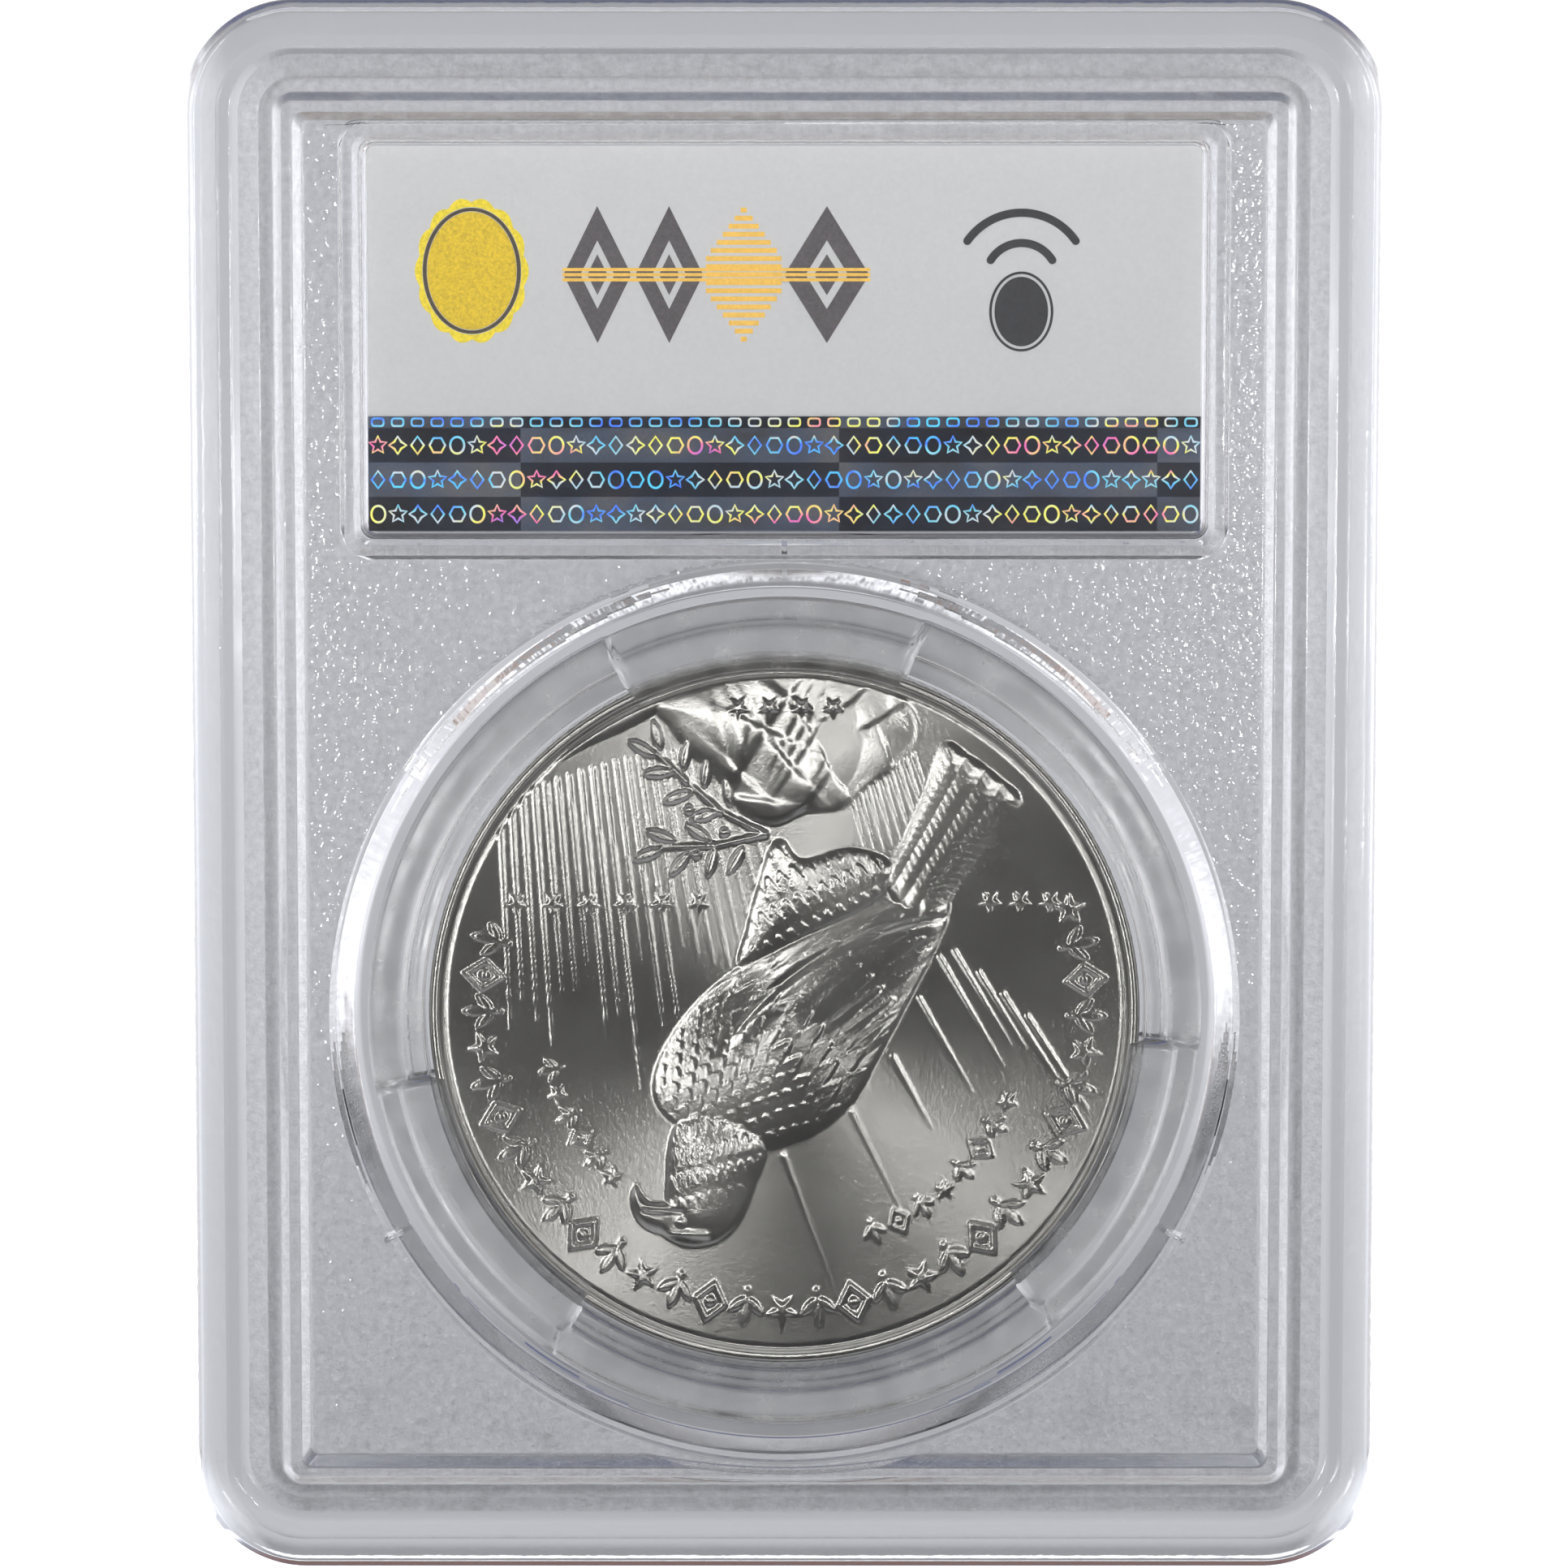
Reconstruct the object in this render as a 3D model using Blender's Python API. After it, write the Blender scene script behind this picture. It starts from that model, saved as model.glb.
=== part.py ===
"""Graded coin slab: a sealed two-shell plastic holder with a coin in a pronged ring and a printed label.

Frame: metres, +Z up. The slab stands on its bottom edge, centred on X and Y, with Z = 0 under it.
The back of the slab, with the security strip, faces -Y. The front faces +Y.
Heights called "level" are distances from the weld plane, Y = 0, towards the outside of a shell.
"""

import math
from typing import NamedTuple

import bmesh
import bpy

MM = 0.001

# Driving dimensions of the holder
WIDTH = 63.5 * MM
HEIGHT = 84.0 * MM
THICKNESS = 8.0 * MM
CORNER_RADIUS = 6.0 * MM
EDGE_ROUND = 1.9 * MM
SEAM_GAP = 0.3 * MM
FIT_GAP = 0.3 * MM

FACE_LEVEL = THICKNESS / 2
SEAM_LEVEL = SEAM_GAP / 2
PANEL_LEVEL = 3.2 * MM

# Back face: a flange, a shallow valley and a stacking ridge. Insets are measured from the outer edge.
FLANGE_LEVEL = 3.7 * MM
FLANGE_INSET = 2.6 * MM
VALLEY_INSET = 4.1 * MM
RIDGE_FOOT = 4.85 * MM
RIDGE_TOP_OUTER = 5.35 * MM
RIDGE_TOP_INNER = 5.9 * MM
BACK_RECESS = 6.4 * MM
# Front face: a high rim whose inner step fits round the ridge of the next slab in a stack
RIM_TOP_INNER = 3.4 * MM
FRONT_RECESS = 4.3 * MM
RECESS_CORNER = 0.6 * MM
# The bottom of the back recess swells downwards, which thins the ridge under the coin
BULGE_RADIUS = 36.0 * MM
BULGE_CREST_Z = 5.55 * MM
BULGE_FLOOR_Z = 5.7 * MM

# Weld joint: a tongue on the front shell in a groove in the back shell
WELD_INSET = 2.7 * MM
GROOVE_WIDTH = 1.1 * MM
GROOVE_DEPTH = 0.8 * MM
TONGUE_WIDTH = 0.5 * MM
TONGUE_HEIGHT = 0.6 * MM

# Coin, a 38.1 mm silver dollar
COIN_RADIUS = 38.1 / 2 * MM
COIN_THICKNESS = 2.4 * MM
COIN_RIM_WIDTH = 0.8 * MM
COIN_FIELD_DROP = 0.15 * MM
COIN_EDGE_CHAMFER = 0.15 * MM
COIN_CENTRE_Z = 30.1 * MM

# Coin well, a cone that widens towards the weld plane, and the raised window over it
WELL_FLOOR_LEVEL = 2.3 * MM
WELL_FLOOR_RADIUS = 22.9 * MM
WELL_MOUTH_RADIUS = 24.1 * MM
WINDOW_RADIUS = 24.3 * MM
WINDOW_RAISE = 0.15 * MM
WINDOW_BEVEL = 0.4 * MM
KEY_SLOT_ANGLES = [math.radians(angle) for angle in (90, 210, 330)]
KEY_SLOT_WIDTH = 0.6 * MM
KEY_SLOT_LEVEL = 1.6 * MM
KEY_SLOT_INNER = 22.0 * MM
KEY_SLOT_OUTER = 24.9 * MM

# Ring that holds the coin: three prongs on each side, 120 degrees apart
RING_OUTER_RADIUS = 22.3 * MM
RING_STEP_RADIUS = 20.4 * MM
RING_TOP_LEVEL = 1.8 * MM
RING_STEP_LEVEL = 1.35 * MM
PRONG_INNER_RADIUS = 18.5 * MM
PRONG_OUTER_RADIUS = 20.9 * MM
PRONG_FOOT_RADIUS = COIN_RADIUS + 0.4 * MM
PRONG_FOOT_LEVEL = 1.0 * MM
PRONG_TOP_LEVEL = 2.0 * MM
PRONG_SPAN = math.radians(45)
PRONG_CENTRES = [math.radians(angle) for angle in (93, 213, 333)]

# Label: two paper plies round a wireless tag, with the strip bonded to its back
LABEL_WIDTH = 44.2 * MM
LABEL_HEIGHT = 20.4 * MM
LABEL_CENTRE_Z = 66.1 * MM
LABEL_PLY = 0.25 * MM
LAYER_GAP = 0.05 * MM
STRIP_HEIGHT = 6.1 * MM
STRIP_THICKNESS = 0.1 * MM
POCKET_CLEARANCE = 0.3 * MM
POCKET_FLOOR_LEVEL = 0.9 * MM
POCKET_CORNER = 0.8 * MM
LIP_OUTSET = 1.4 * MM
LIP_INNER_OUTSET = 0.3 * MM
LIP_HEIGHT = 0.3 * MM
LIP_SLOPE = 0.3 * MM

# Wireless tag inside the label
TAG_CENTRE_X = 12.4 * MM
TAG_SIZE = 17.0 * MM
TAG_FILM = 0.1 * MM
ANTENNA_THICKNESS = 0.1 * MM
ANTENNA_TURNS = 5
ANTENNA_TRACE = 0.5 * MM
ANTENNA_PITCH = 1.0 * MM
ANTENNA_MARGIN = 0.6 * MM
CHIP_SIZE = 1.2 * MM
JUMPER_WIDTH = 0.8 * MM
JUMPER_THICKNESS = 0.06 * MM
JUMPER_DROP = 0.6 * MM

# Facets
CORNER_STEPS = 6
ROUND_STEPS = 5
BULGE_STEPS = 10
CIRCLE_STEPS = 72
PRONG_STEPS = 9
SMOOTH_ANGLE = math.radians(19.5)


class Finish(NamedTuple):
    colour: tuple
    roughness: float
    metallic: float = 0.0
    alpha: float = 1.0


CLEAR_PLASTIC = Finish((0.86, 0.87, 0.89), 0.05, alpha=0.35)
RING_PLASTIC = Finish((0.82, 0.83, 0.84), 0.45, alpha=0.7)
SILVER = Finish((0.66, 0.65, 0.62), 0.3, metallic=1.0)
PAPER = Finish((0.85, 0.85, 0.85), 0.7)
FOIL = Finish((0.12, 0.13, 0.16), 0.2, metallic=1.0)
FILM = Finish((0.80, 0.82, 0.84), 0.2)
TAG_METAL = Finish((0.80, 0.80, 0.82), 0.3, metallic=1.0)
SILICON = Finish((0.05, 0.05, 0.06), 0.4)


def clear_scene():
    for obj in list(bpy.data.objects):
        bpy.data.objects.remove(obj)


def make_material(name, finish):
    material = bpy.data.materials.new(name)
    material.use_nodes = True
    shader = material.node_tree.nodes["Principled BSDF"]
    shader.inputs["Base Color"].default_value = (*finish.colour, 1.0)
    shader.inputs["Roughness"].default_value = finish.roughness
    shader.inputs["Metallic"].default_value = finish.metallic
    shader.inputs["Alpha"].default_value = finish.alpha
    return material


def finish_object(name, mesh_builder, finish):
    """Turns a bmesh into an object whose faces point out, smooth except at sharp edges."""
    bmesh.ops.recalc_face_normals(mesh_builder, faces=mesh_builder.faces)
    mesh = bpy.data.meshes.new(name)
    mesh_builder.to_mesh(mesh)
    mesh_builder.free()
    mesh.materials.append(make_material(name, finish))
    mesh.shade_smooth()
    mesh.set_sharp_from_angle(angle=SMOOTH_ANGLE)
    obj = bpy.data.objects.new(name, mesh)
    bpy.context.scene.collection.objects.link(obj)
    return obj


# Outlines in the XZ plane, as lists of (x, z), anticlockwise


def arc(centre_x, centre_z, radius, start, end, steps):
    return [
        (
            centre_x + radius * math.cos(start + (end - start) * i / steps),
            centre_z + radius * math.sin(start + (end - start) * i / steps),
        )
        for i in range(steps + 1)
    ]


def circle(radius):
    return arc(0, COIN_CENTRE_Z, radius, 0, 2 * math.pi, CIRCLE_STEPS)[:-1]


def rounded_rectangle(half_width, half_height, radius, centre_z):
    """Corners in order from the bottom left one."""
    outline = []
    corners = ((-1, -1, 180), (1, -1, 270), (1, 1, 0), (-1, 1, 90))
    for side_x, side_z, start in corners:
        outline += arc(
            side_x * (half_width - radius),
            centre_z + side_z * (half_height - radius),
            radius,
            math.radians(start),
            math.radians(start + 90),
            CORNER_STEPS,
        )
    return outline


def holder_outline(inset):
    """The slab's outline moved inwards, with its corners getting tighter along with it."""
    radius = max(CORNER_RADIUS - inset, RECESS_CORNER)
    return rounded_rectangle(WIDTH / 2 - inset, HEIGHT / 2 - inset, radius, HEIGHT / 2)


def recess_outline(inset, bulge_bottom):
    """The same outline with a bottom edge that swells down to bulge_bottom in the middle."""
    outline = holder_outline(inset)
    centre_z = bulge_bottom + BULGE_RADIUS
    half_angle = math.acos((centre_z - inset) / BULGE_RADIUS)
    down = math.radians(270)
    bulge = arc(
        0, centre_z, BULGE_RADIUS, down - half_angle, down + half_angle, BULGE_STEPS
    )
    first_corner = CORNER_STEPS + 1
    return outline[:first_corner] + bulge + outline[first_corner:]


def label_outline(outset, corner):
    return rounded_rectangle(
        LABEL_WIDTH / 2 + outset, LABEL_HEIGHT / 2 + outset, corner, LABEL_CENTRE_Z
    )


# Surfaces made from outlines at levels


def add_loop(mesh_builder, outline, level, side):
    """One closed loop of vertices at a distance from the weld plane; side is -1 at the back."""
    return [mesh_builder.verts.new((x, side * level, z)) for x, z in outline]


def loop_edges(mesh_builder, loop):
    edges = []
    for a, b in zip(loop, loop[1:] + loop[:1]):
        edges.append(mesh_builder.edges.get((a, b)) or mesh_builder.edges.new((a, b)))
    return edges


def bridge(mesh_builder, lower, upper):
    for i in range(len(lower)):
        j = (i + 1) % len(lower)
        mesh_builder.faces.new((lower[i], lower[j], upper[j], upper[i]))


def bridge_all(mesh_builder, loops):
    for lower, upper in zip(loops, loops[1:]):
        bridge(mesh_builder, lower, upper)


def fill_between(mesh_builder, loops):
    """A flat face with holes: the first loop is its outside and the rest are the holes."""
    edges = [edge for loop in loops for edge in loop_edges(mesh_builder, loop)]
    bmesh.ops.triangle_fill(mesh_builder, edges=edges, use_beauty=True)


def outer_edge_profile(top_level):
    """(inset, level) from the weld plane up the side and over the rounded edge."""
    points = [(0, SEAM_LEVEL)]
    for i in range(ROUND_STEPS + 1):
        angle = math.radians(90) * i / ROUND_STEPS
        inset = EDGE_ROUND * (1 - math.cos(angle))
        points.append((inset, top_level - EDGE_ROUND * (1 - math.sin(angle))))
    return points


def add_window(mesh_builder, side):
    """The raised disc over the coin. Returns its loop in the panel."""
    foot = add_loop(mesh_builder, circle(WINDOW_RADIUS), PANEL_LEVEL, side)
    top = add_loop(
        mesh_builder,
        circle(WINDOW_RADIUS - WINDOW_BEVEL),
        PANEL_LEVEL + WINDOW_RAISE,
        side,
    )
    bridge(mesh_builder, foot, top)
    fill_between(mesh_builder, [top])
    return foot


def add_lip(mesh_builder, side):
    """The raised frame round the label window. Returns its loop in the panel."""
    lip_level = PANEL_LEVEL + LIP_HEIGHT
    steps = (
        (LIP_OUTSET, PANEL_LEVEL),
        (LIP_OUTSET - LIP_SLOPE, lip_level),
        (LIP_INNER_OUTSET + LIP_SLOPE, lip_level),
        (LIP_INNER_OUTSET, PANEL_LEVEL),
    )
    loops = [
        add_loop(mesh_builder, label_outline(outset, POCKET_CORNER), level, side)
        for outset, level in steps
    ]
    bridge_all(mesh_builder, loops)
    fill_between(mesh_builder, [loops[-1]])
    return loops[0]


def add_pocket(mesh_builder, side):
    """The label's pocket. Returns its loop in the weld plane."""
    outline = label_outline(POCKET_CLEARANCE, POCKET_CORNER)
    mouth = add_loop(mesh_builder, outline, SEAM_LEVEL, side)
    floor = add_loop(mesh_builder, outline, POCKET_FLOOR_LEVEL, side)
    bridge(mesh_builder, mouth, floor)
    fill_between(mesh_builder, [floor])
    return mouth


def add_well(mesh_builder, side):
    """The coin's well. Returns its loop in the weld plane."""
    mouth = add_loop(mesh_builder, circle(WELL_MOUTH_RADIUS), SEAM_LEVEL, side)
    floor = add_loop(mesh_builder, circle(WELL_FLOOR_RADIUS), WELL_FLOOR_LEVEL, side)
    bridge(mesh_builder, mouth, floor)
    fill_between(mesh_builder, [floor])
    return mouth


def weld_loops(mesh_builder, width, level, side):
    """Four loops of a groove, or of a tongue where the level is below the weld plane."""
    outer, inner = WELD_INSET - width / 2, WELD_INSET + width / 2
    steps = (
        (outer, SEAM_LEVEL),
        (outer, level),
        (inner, level),
        (inner, SEAM_LEVEL),
    )
    return [add_loop(mesh_builder, holder_outline(i), at, side) for i, at in steps]


def build_shell(name, side, face_loops, weld_width, weld_level, finish):
    """face_loops adds the outer face's loops and returns them from the edge to the panel."""
    mesh_builder = bmesh.new()
    loops = face_loops(mesh_builder, side)
    panel_holes = [add_window(mesh_builder, side), add_lip(mesh_builder, side)]
    fill_between(mesh_builder, [loops[-1]] + panel_holes)
    weld = weld_loops(mesh_builder, weld_width, weld_level, side)
    fill_between(mesh_builder, [loops[0], weld[0]])
    bridge_all(mesh_builder, weld)
    seam_holes = [add_pocket(mesh_builder, side), add_well(mesh_builder, side)]
    fill_between(mesh_builder, [weld[-1]] + seam_holes)
    shell = finish_object(name, mesh_builder, finish)
    cut_key_slots(shell, side, finish)
    return shell


def back_face_loops(mesh_builder, side):
    profile = outer_edge_profile(FLANGE_LEVEL)
    profile += [
        (FLANGE_INSET, FLANGE_LEVEL),
        (VALLEY_INSET, PANEL_LEVEL),
        (RIDGE_FOOT, PANEL_LEVEL),
        (RIDGE_TOP_OUTER, FACE_LEVEL),
    ]
    loops = [
        add_loop(mesh_builder, holder_outline(inset), level, side)
        for inset, level in profile
    ]
    bridge_all(mesh_builder, loops)
    crest_outline = recess_outline(RIDGE_TOP_INNER, BULGE_CREST_Z)
    crest = add_loop(mesh_builder, crest_outline, FACE_LEVEL, side)
    fill_between(mesh_builder, [loops[-1], crest])
    floor_outline = recess_outline(BACK_RECESS, BULGE_FLOOR_Z)
    floor = add_loop(mesh_builder, floor_outline, PANEL_LEVEL, side)
    bridge(mesh_builder, crest, floor)
    return loops + [crest, floor]


def front_face_loops(mesh_builder, side):
    profile = outer_edge_profile(FACE_LEVEL)
    profile += [(RIM_TOP_INNER, FACE_LEVEL), (FRONT_RECESS, PANEL_LEVEL)]
    loops = [
        add_loop(mesh_builder, holder_outline(inset), level, side)
        for inset, level in profile
    ]
    bridge_all(mesh_builder, loops)
    return loops


def cut_key_slots(shell, side, finish):
    """Three narrow radial slots in the wall of the coin well."""
    mesh_builder = bmesh.new()
    for angle in KEY_SLOT_ANGLES:
        across_x, across_z = -math.sin(angle), math.cos(angle)
        corners = []
        for r, w in (
            (KEY_SLOT_INNER, -1),
            (KEY_SLOT_OUTER, -1),
            (KEY_SLOT_OUTER, 1),
            (KEY_SLOT_INNER, 1),
        ):
            half_width = w * KEY_SLOT_WIDTH / 2
            x = r * math.cos(angle) + half_width * across_x
            z = COIN_CENTRE_Z + r * math.sin(angle) + half_width * across_z
            corners.append((x, z))
        below = add_loop(mesh_builder, corners, -SEAM_GAP, side)
        above = add_loop(mesh_builder, corners, KEY_SLOT_LEVEL, side)
        bridge(mesh_builder, below, above)
        mesh_builder.faces.new(below)
        mesh_builder.faces.new(above)
    slots = finish_object(shell.name + "_slot_tool", mesh_builder, finish)
    slots.hide_render = True
    slots.display_type = "WIRE"
    cut = shell.modifiers.new("key_slots", "BOOLEAN")
    cut.operation = "DIFFERENCE"
    cut.solver = "EXACT"
    cut.object = slots


# Turned pieces, swept round the coin's axis, which runs along Y


def swept_solid(name, profile, start, end, steps, finish):
    """A closed (radius, y) profile swept through an arc, with ends unless it goes all the way."""
    mesh_builder = bmesh.new()
    whole = math.isclose(end - start, 2 * math.pi)
    stations = steps if whole else steps + 1
    sections = []
    for i in range(stations):
        angle = start + (end - start) * i / steps
        sections.append(
            [
                mesh_builder.verts.new(
                    (r * math.cos(angle), y, COIN_CENTRE_Z + r * math.sin(angle))
                )
                for r, y in profile
            ]
        )
    bridge_all(mesh_builder, sections + sections[:1] if whole else sections)
    if not whole:
        mesh_builder.faces.new(sections[0])
        mesh_builder.faces.new(sections[-1])
    return finish_object(name, mesh_builder, finish)


def build_coin(finish):
    """A disc with a raised rim on both faces, made from loops between two flat fields."""
    half, field = COIN_THICKNESS / 2, COIN_THICKNESS / 2 - COIN_FIELD_DROP
    rim_inner = COIN_RADIUS - COIN_RIM_WIDTH
    one_side = [
        (rim_inner - COIN_FIELD_DROP, field),
        (rim_inner, half),
        (COIN_RADIUS - COIN_EDGE_CHAMFER, half),
        (COIN_RADIUS, half - COIN_EDGE_CHAMFER),
    ]
    mesh_builder = bmesh.new()
    loops = [add_loop(mesh_builder, circle(r), y, -1) for r, y in one_side]
    loops += [add_loop(mesh_builder, circle(r), y, 1) for r, y in reversed(one_side)]
    bridge_all(mesh_builder, loops)
    fill_between(mesh_builder, [loops[0]])
    fill_between(mesh_builder, [loops[-1]])
    return finish_object("coin", mesh_builder, finish)


def build_prong(centre, side, finish):
    """A tab over the coin's rim, with a foot that sinks into the ring. It is joined to the ring."""
    profile = [
        (PRONG_INNER_RADIUS, side * (COIN_THICKNESS / 2 + FIT_GAP)),
        (PRONG_FOOT_RADIUS, side * (COIN_THICKNESS / 2 + FIT_GAP)),
        (PRONG_FOOT_RADIUS, side * PRONG_FOOT_LEVEL),
        (PRONG_OUTER_RADIUS, side * PRONG_FOOT_LEVEL),
        (PRONG_OUTER_RADIUS, side * PRONG_TOP_LEVEL),
        (PRONG_INNER_RADIUS, side * PRONG_TOP_LEVEL),
    ]
    start, end = centre - PRONG_SPAN / 2, centre + PRONG_SPAN / 2
    prong = swept_solid("prong_tool", profile, start, end, PRONG_STEPS, finish)
    prong.hide_render = True
    prong.display_type = "WIRE"
    return prong


def build_ring(finish):
    inner = COIN_RADIUS + FIT_GAP
    profile = [
        (inner, -RING_STEP_LEVEL),
        (inner, RING_STEP_LEVEL),
        (RING_STEP_RADIUS, RING_STEP_LEVEL),
        (RING_STEP_RADIUS, RING_TOP_LEVEL),
        (RING_OUTER_RADIUS, RING_TOP_LEVEL),
        (RING_OUTER_RADIUS, -RING_TOP_LEVEL),
        (RING_STEP_RADIUS, -RING_TOP_LEVEL),
        (RING_STEP_RADIUS, -RING_STEP_LEVEL),
    ]
    ring = swept_solid("coin_ring", profile, 0, 2 * math.pi, CIRCLE_STEPS, finish)
    for centre in PRONG_CENTRES:
        for side in (-1, 1):
            join = ring.modifiers.new("prong", "BOOLEAN")
            join.operation = "UNION"
            join.solver = "EXACT"
            join.object = build_prong(centre, side, finish)
    return ring


# Flat pieces of the label, stacked along Y


def flat_solid(name, outline, near_y, thickness, finish):
    """A sheet of constant thickness whose back face is at near_y."""
    mesh_builder = bmesh.new()
    near = [mesh_builder.verts.new((x, near_y, z)) for x, z in outline]
    far = [mesh_builder.verts.new((x, near_y + thickness, z)) for x, z in outline]
    bridge(mesh_builder, near, far)
    fill_between(mesh_builder, [near])
    fill_between(mesh_builder, [far])
    return finish_object(name, mesh_builder, finish)


def rectangle(centre_x, centre_z, width, height):
    half_w, half_h = width / 2, height / 2
    return [
        (centre_x + sx * half_w, centre_z + sz * half_h)
        for sx, sz in ((-1, -1), (1, -1), (1, 1), (-1, 1))
    ]


def spiral_side(offset):
    """One side of a square spiral that winds inwards from the jumper's outer end."""
    reach = TAG_SIZE / 2 - ANTENNA_MARGIN - ANTENNA_TRACE / 2 + offset
    points = [(-reach, -JUMPER_DROP)]
    for turn in range(ANTENNA_TURNS):
        r = reach - turn * ANTENNA_PITCH
        points += [(-r, -r), (r, -r), (r, r), (ANTENNA_PITCH - r, r)]
    points.append((ANTENNA_PITCH - r, JUMPER_DROP / 2))
    return points


def antenna_outline():
    """The trace's outer side followed by its inner side backwards, as one closed ribbon."""
    outer = spiral_side(ANTENNA_TRACE / 2)
    inner = spiral_side(-ANTENNA_TRACE / 2)
    return [(TAG_CENTRE_X + x, LABEL_CENTRE_Z + z) for x, z in outer + inner[::-1]]


def build_label():
    """Strip, back ply, tag and front ply, laid one on another from -Y to +Y."""
    total = (
        STRIP_THICKNESS
        + 2 * LABEL_PLY
        + ANTENNA_THICKNESS
        + TAG_FILM
        + JUMPER_THICKNESS
        + 5 * LAYER_GAP
    )
    y = -total / 2
    strip_z = LABEL_CENTRE_Z - (LABEL_HEIGHT - STRIP_HEIGHT) / 2
    strip = rectangle(0, strip_z, LABEL_WIDTH, STRIP_HEIGHT)
    flat_solid("hologram_strip", strip, y, STRIP_THICKNESS, FOIL)
    y += STRIP_THICKNESS + LAYER_GAP
    ply = rectangle(0, LABEL_CENTRE_Z, LABEL_WIDTH, LABEL_HEIGHT)
    flat_solid("label_back_ply", ply, y, LABEL_PLY, PAPER)
    y += LABEL_PLY + LAYER_GAP
    flat_solid("tag_antenna", antenna_outline(), y, ANTENNA_THICKNESS, TAG_METAL)
    inner_reach = TAG_SIZE / 2 - ANTENNA_MARGIN - ANTENNA_TRACE / 2
    inner_reach -= ANTENNA_TURNS * ANTENNA_PITCH
    chip_x, chip_z = TAG_CENTRE_X - inner_reach, LABEL_CENTRE_Z - JUMPER_DROP
    chip = rectangle(chip_x, chip_z, CHIP_SIZE, CHIP_SIZE)
    flat_solid("tag_chip", chip, y, ANTENNA_THICKNESS, SILICON)
    y += ANTENNA_THICKNESS + LAYER_GAP
    square = rectangle(TAG_CENTRE_X, LABEL_CENTRE_Z, TAG_SIZE, TAG_SIZE)
    flat_solid("tag_film", square, y, TAG_FILM, FILM)
    y += TAG_FILM + LAYER_GAP
    jumper_length = ANTENNA_TURNS * ANTENNA_PITCH + CHIP_SIZE
    jumper_x = chip_x + CHIP_SIZE / 2 - jumper_length / 2
    jumper = rectangle(jumper_x, chip_z, jumper_length, JUMPER_WIDTH)
    flat_solid("tag_jumper", jumper, y, JUMPER_THICKNESS, TAG_METAL)
    y += JUMPER_THICKNESS + LAYER_GAP
    flat_solid("label_front_ply", ply, y, LABEL_PLY, PAPER)


def build_slab():
    build_shell(
        "back_shell",
        -1,
        back_face_loops,
        GROOVE_WIDTH,
        SEAM_LEVEL + GROOVE_DEPTH,
        CLEAR_PLASTIC,
    )
    build_shell(
        "front_shell",
        1,
        front_face_loops,
        TONGUE_WIDTH,
        SEAM_LEVEL - TONGUE_HEIGHT,
        CLEAR_PLASTIC,
    )
    build_coin(SILVER)
    build_ring(RING_PLASTIC)
    build_label()


clear_scene()
build_slab()
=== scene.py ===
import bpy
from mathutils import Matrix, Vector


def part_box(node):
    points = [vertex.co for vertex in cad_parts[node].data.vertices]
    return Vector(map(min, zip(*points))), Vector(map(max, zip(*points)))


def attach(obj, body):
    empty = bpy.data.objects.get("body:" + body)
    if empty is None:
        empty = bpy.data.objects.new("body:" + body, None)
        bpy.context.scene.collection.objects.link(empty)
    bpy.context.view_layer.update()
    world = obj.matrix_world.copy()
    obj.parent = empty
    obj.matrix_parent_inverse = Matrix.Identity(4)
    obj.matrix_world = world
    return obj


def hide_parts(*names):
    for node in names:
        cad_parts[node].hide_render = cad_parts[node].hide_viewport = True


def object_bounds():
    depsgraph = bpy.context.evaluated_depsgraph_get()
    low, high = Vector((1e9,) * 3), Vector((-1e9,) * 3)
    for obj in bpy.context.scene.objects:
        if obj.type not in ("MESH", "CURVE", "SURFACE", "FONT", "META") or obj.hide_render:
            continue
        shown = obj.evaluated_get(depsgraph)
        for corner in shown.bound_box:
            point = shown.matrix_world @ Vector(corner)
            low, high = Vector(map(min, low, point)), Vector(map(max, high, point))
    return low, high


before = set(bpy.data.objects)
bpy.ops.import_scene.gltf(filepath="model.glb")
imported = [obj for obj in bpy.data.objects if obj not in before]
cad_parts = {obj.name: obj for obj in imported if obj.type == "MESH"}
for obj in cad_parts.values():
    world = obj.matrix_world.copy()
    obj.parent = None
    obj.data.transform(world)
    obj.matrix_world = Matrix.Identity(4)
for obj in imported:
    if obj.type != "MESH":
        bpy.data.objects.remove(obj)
cad_box = [list(corner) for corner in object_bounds()]

import math
from functools import reduce

import bmesh
import bpy
import numpy as np
from mathutils import Vector

MM = 0.001

# The holder's box and the places of its pieces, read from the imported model
HALF_WIDTH = (cad_box[1][0] - cad_box[0][0]) / 2
HALF_HEIGHT = (cad_box[1][2] - cad_box[0][2]) / 2
MID_Z = (cad_box[1][2] + cad_box[0][2]) / 2
COIN_LOW, COIN_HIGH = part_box("coin")
COIN_Z = (COIN_LOW[2] + COIN_HIGH[2]) / 2
COIN_HALF = (COIN_HIGH[1] - COIN_LOW[1]) / 2
LABEL_LOW, LABEL_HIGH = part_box("label_back_ply")
LABEL_Z = (LABEL_LOW[2] + LABEL_HIGH[2]) / 2
LABEL_HALF_W = (LABEL_HIGH[0] - LABEL_LOW[0]) / 2
LABEL_HALF_H = (LABEL_HIGH[2] - LABEL_LOW[2]) / 2
FRONT_PLY_LOW, FRONT_PLY_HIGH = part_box("label_front_ply")
STRIP_LOW, STRIP_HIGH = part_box("hologram_strip")

# The shells' levels out from the weld plane and radii round the coin, in millimetres
WELD, POCKET_FLOOR, WELL_FLOOR, PANEL, FLANGE, FACE = 0.02, 0.9, 2.3, 3.2, 3.7, 4.0
WELL_FLOOR_R, WELL_MOUTH_R, WINDOW_R = 22.9, 24.1, 24.25
WINDOW_RAISE = 0.15

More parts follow.
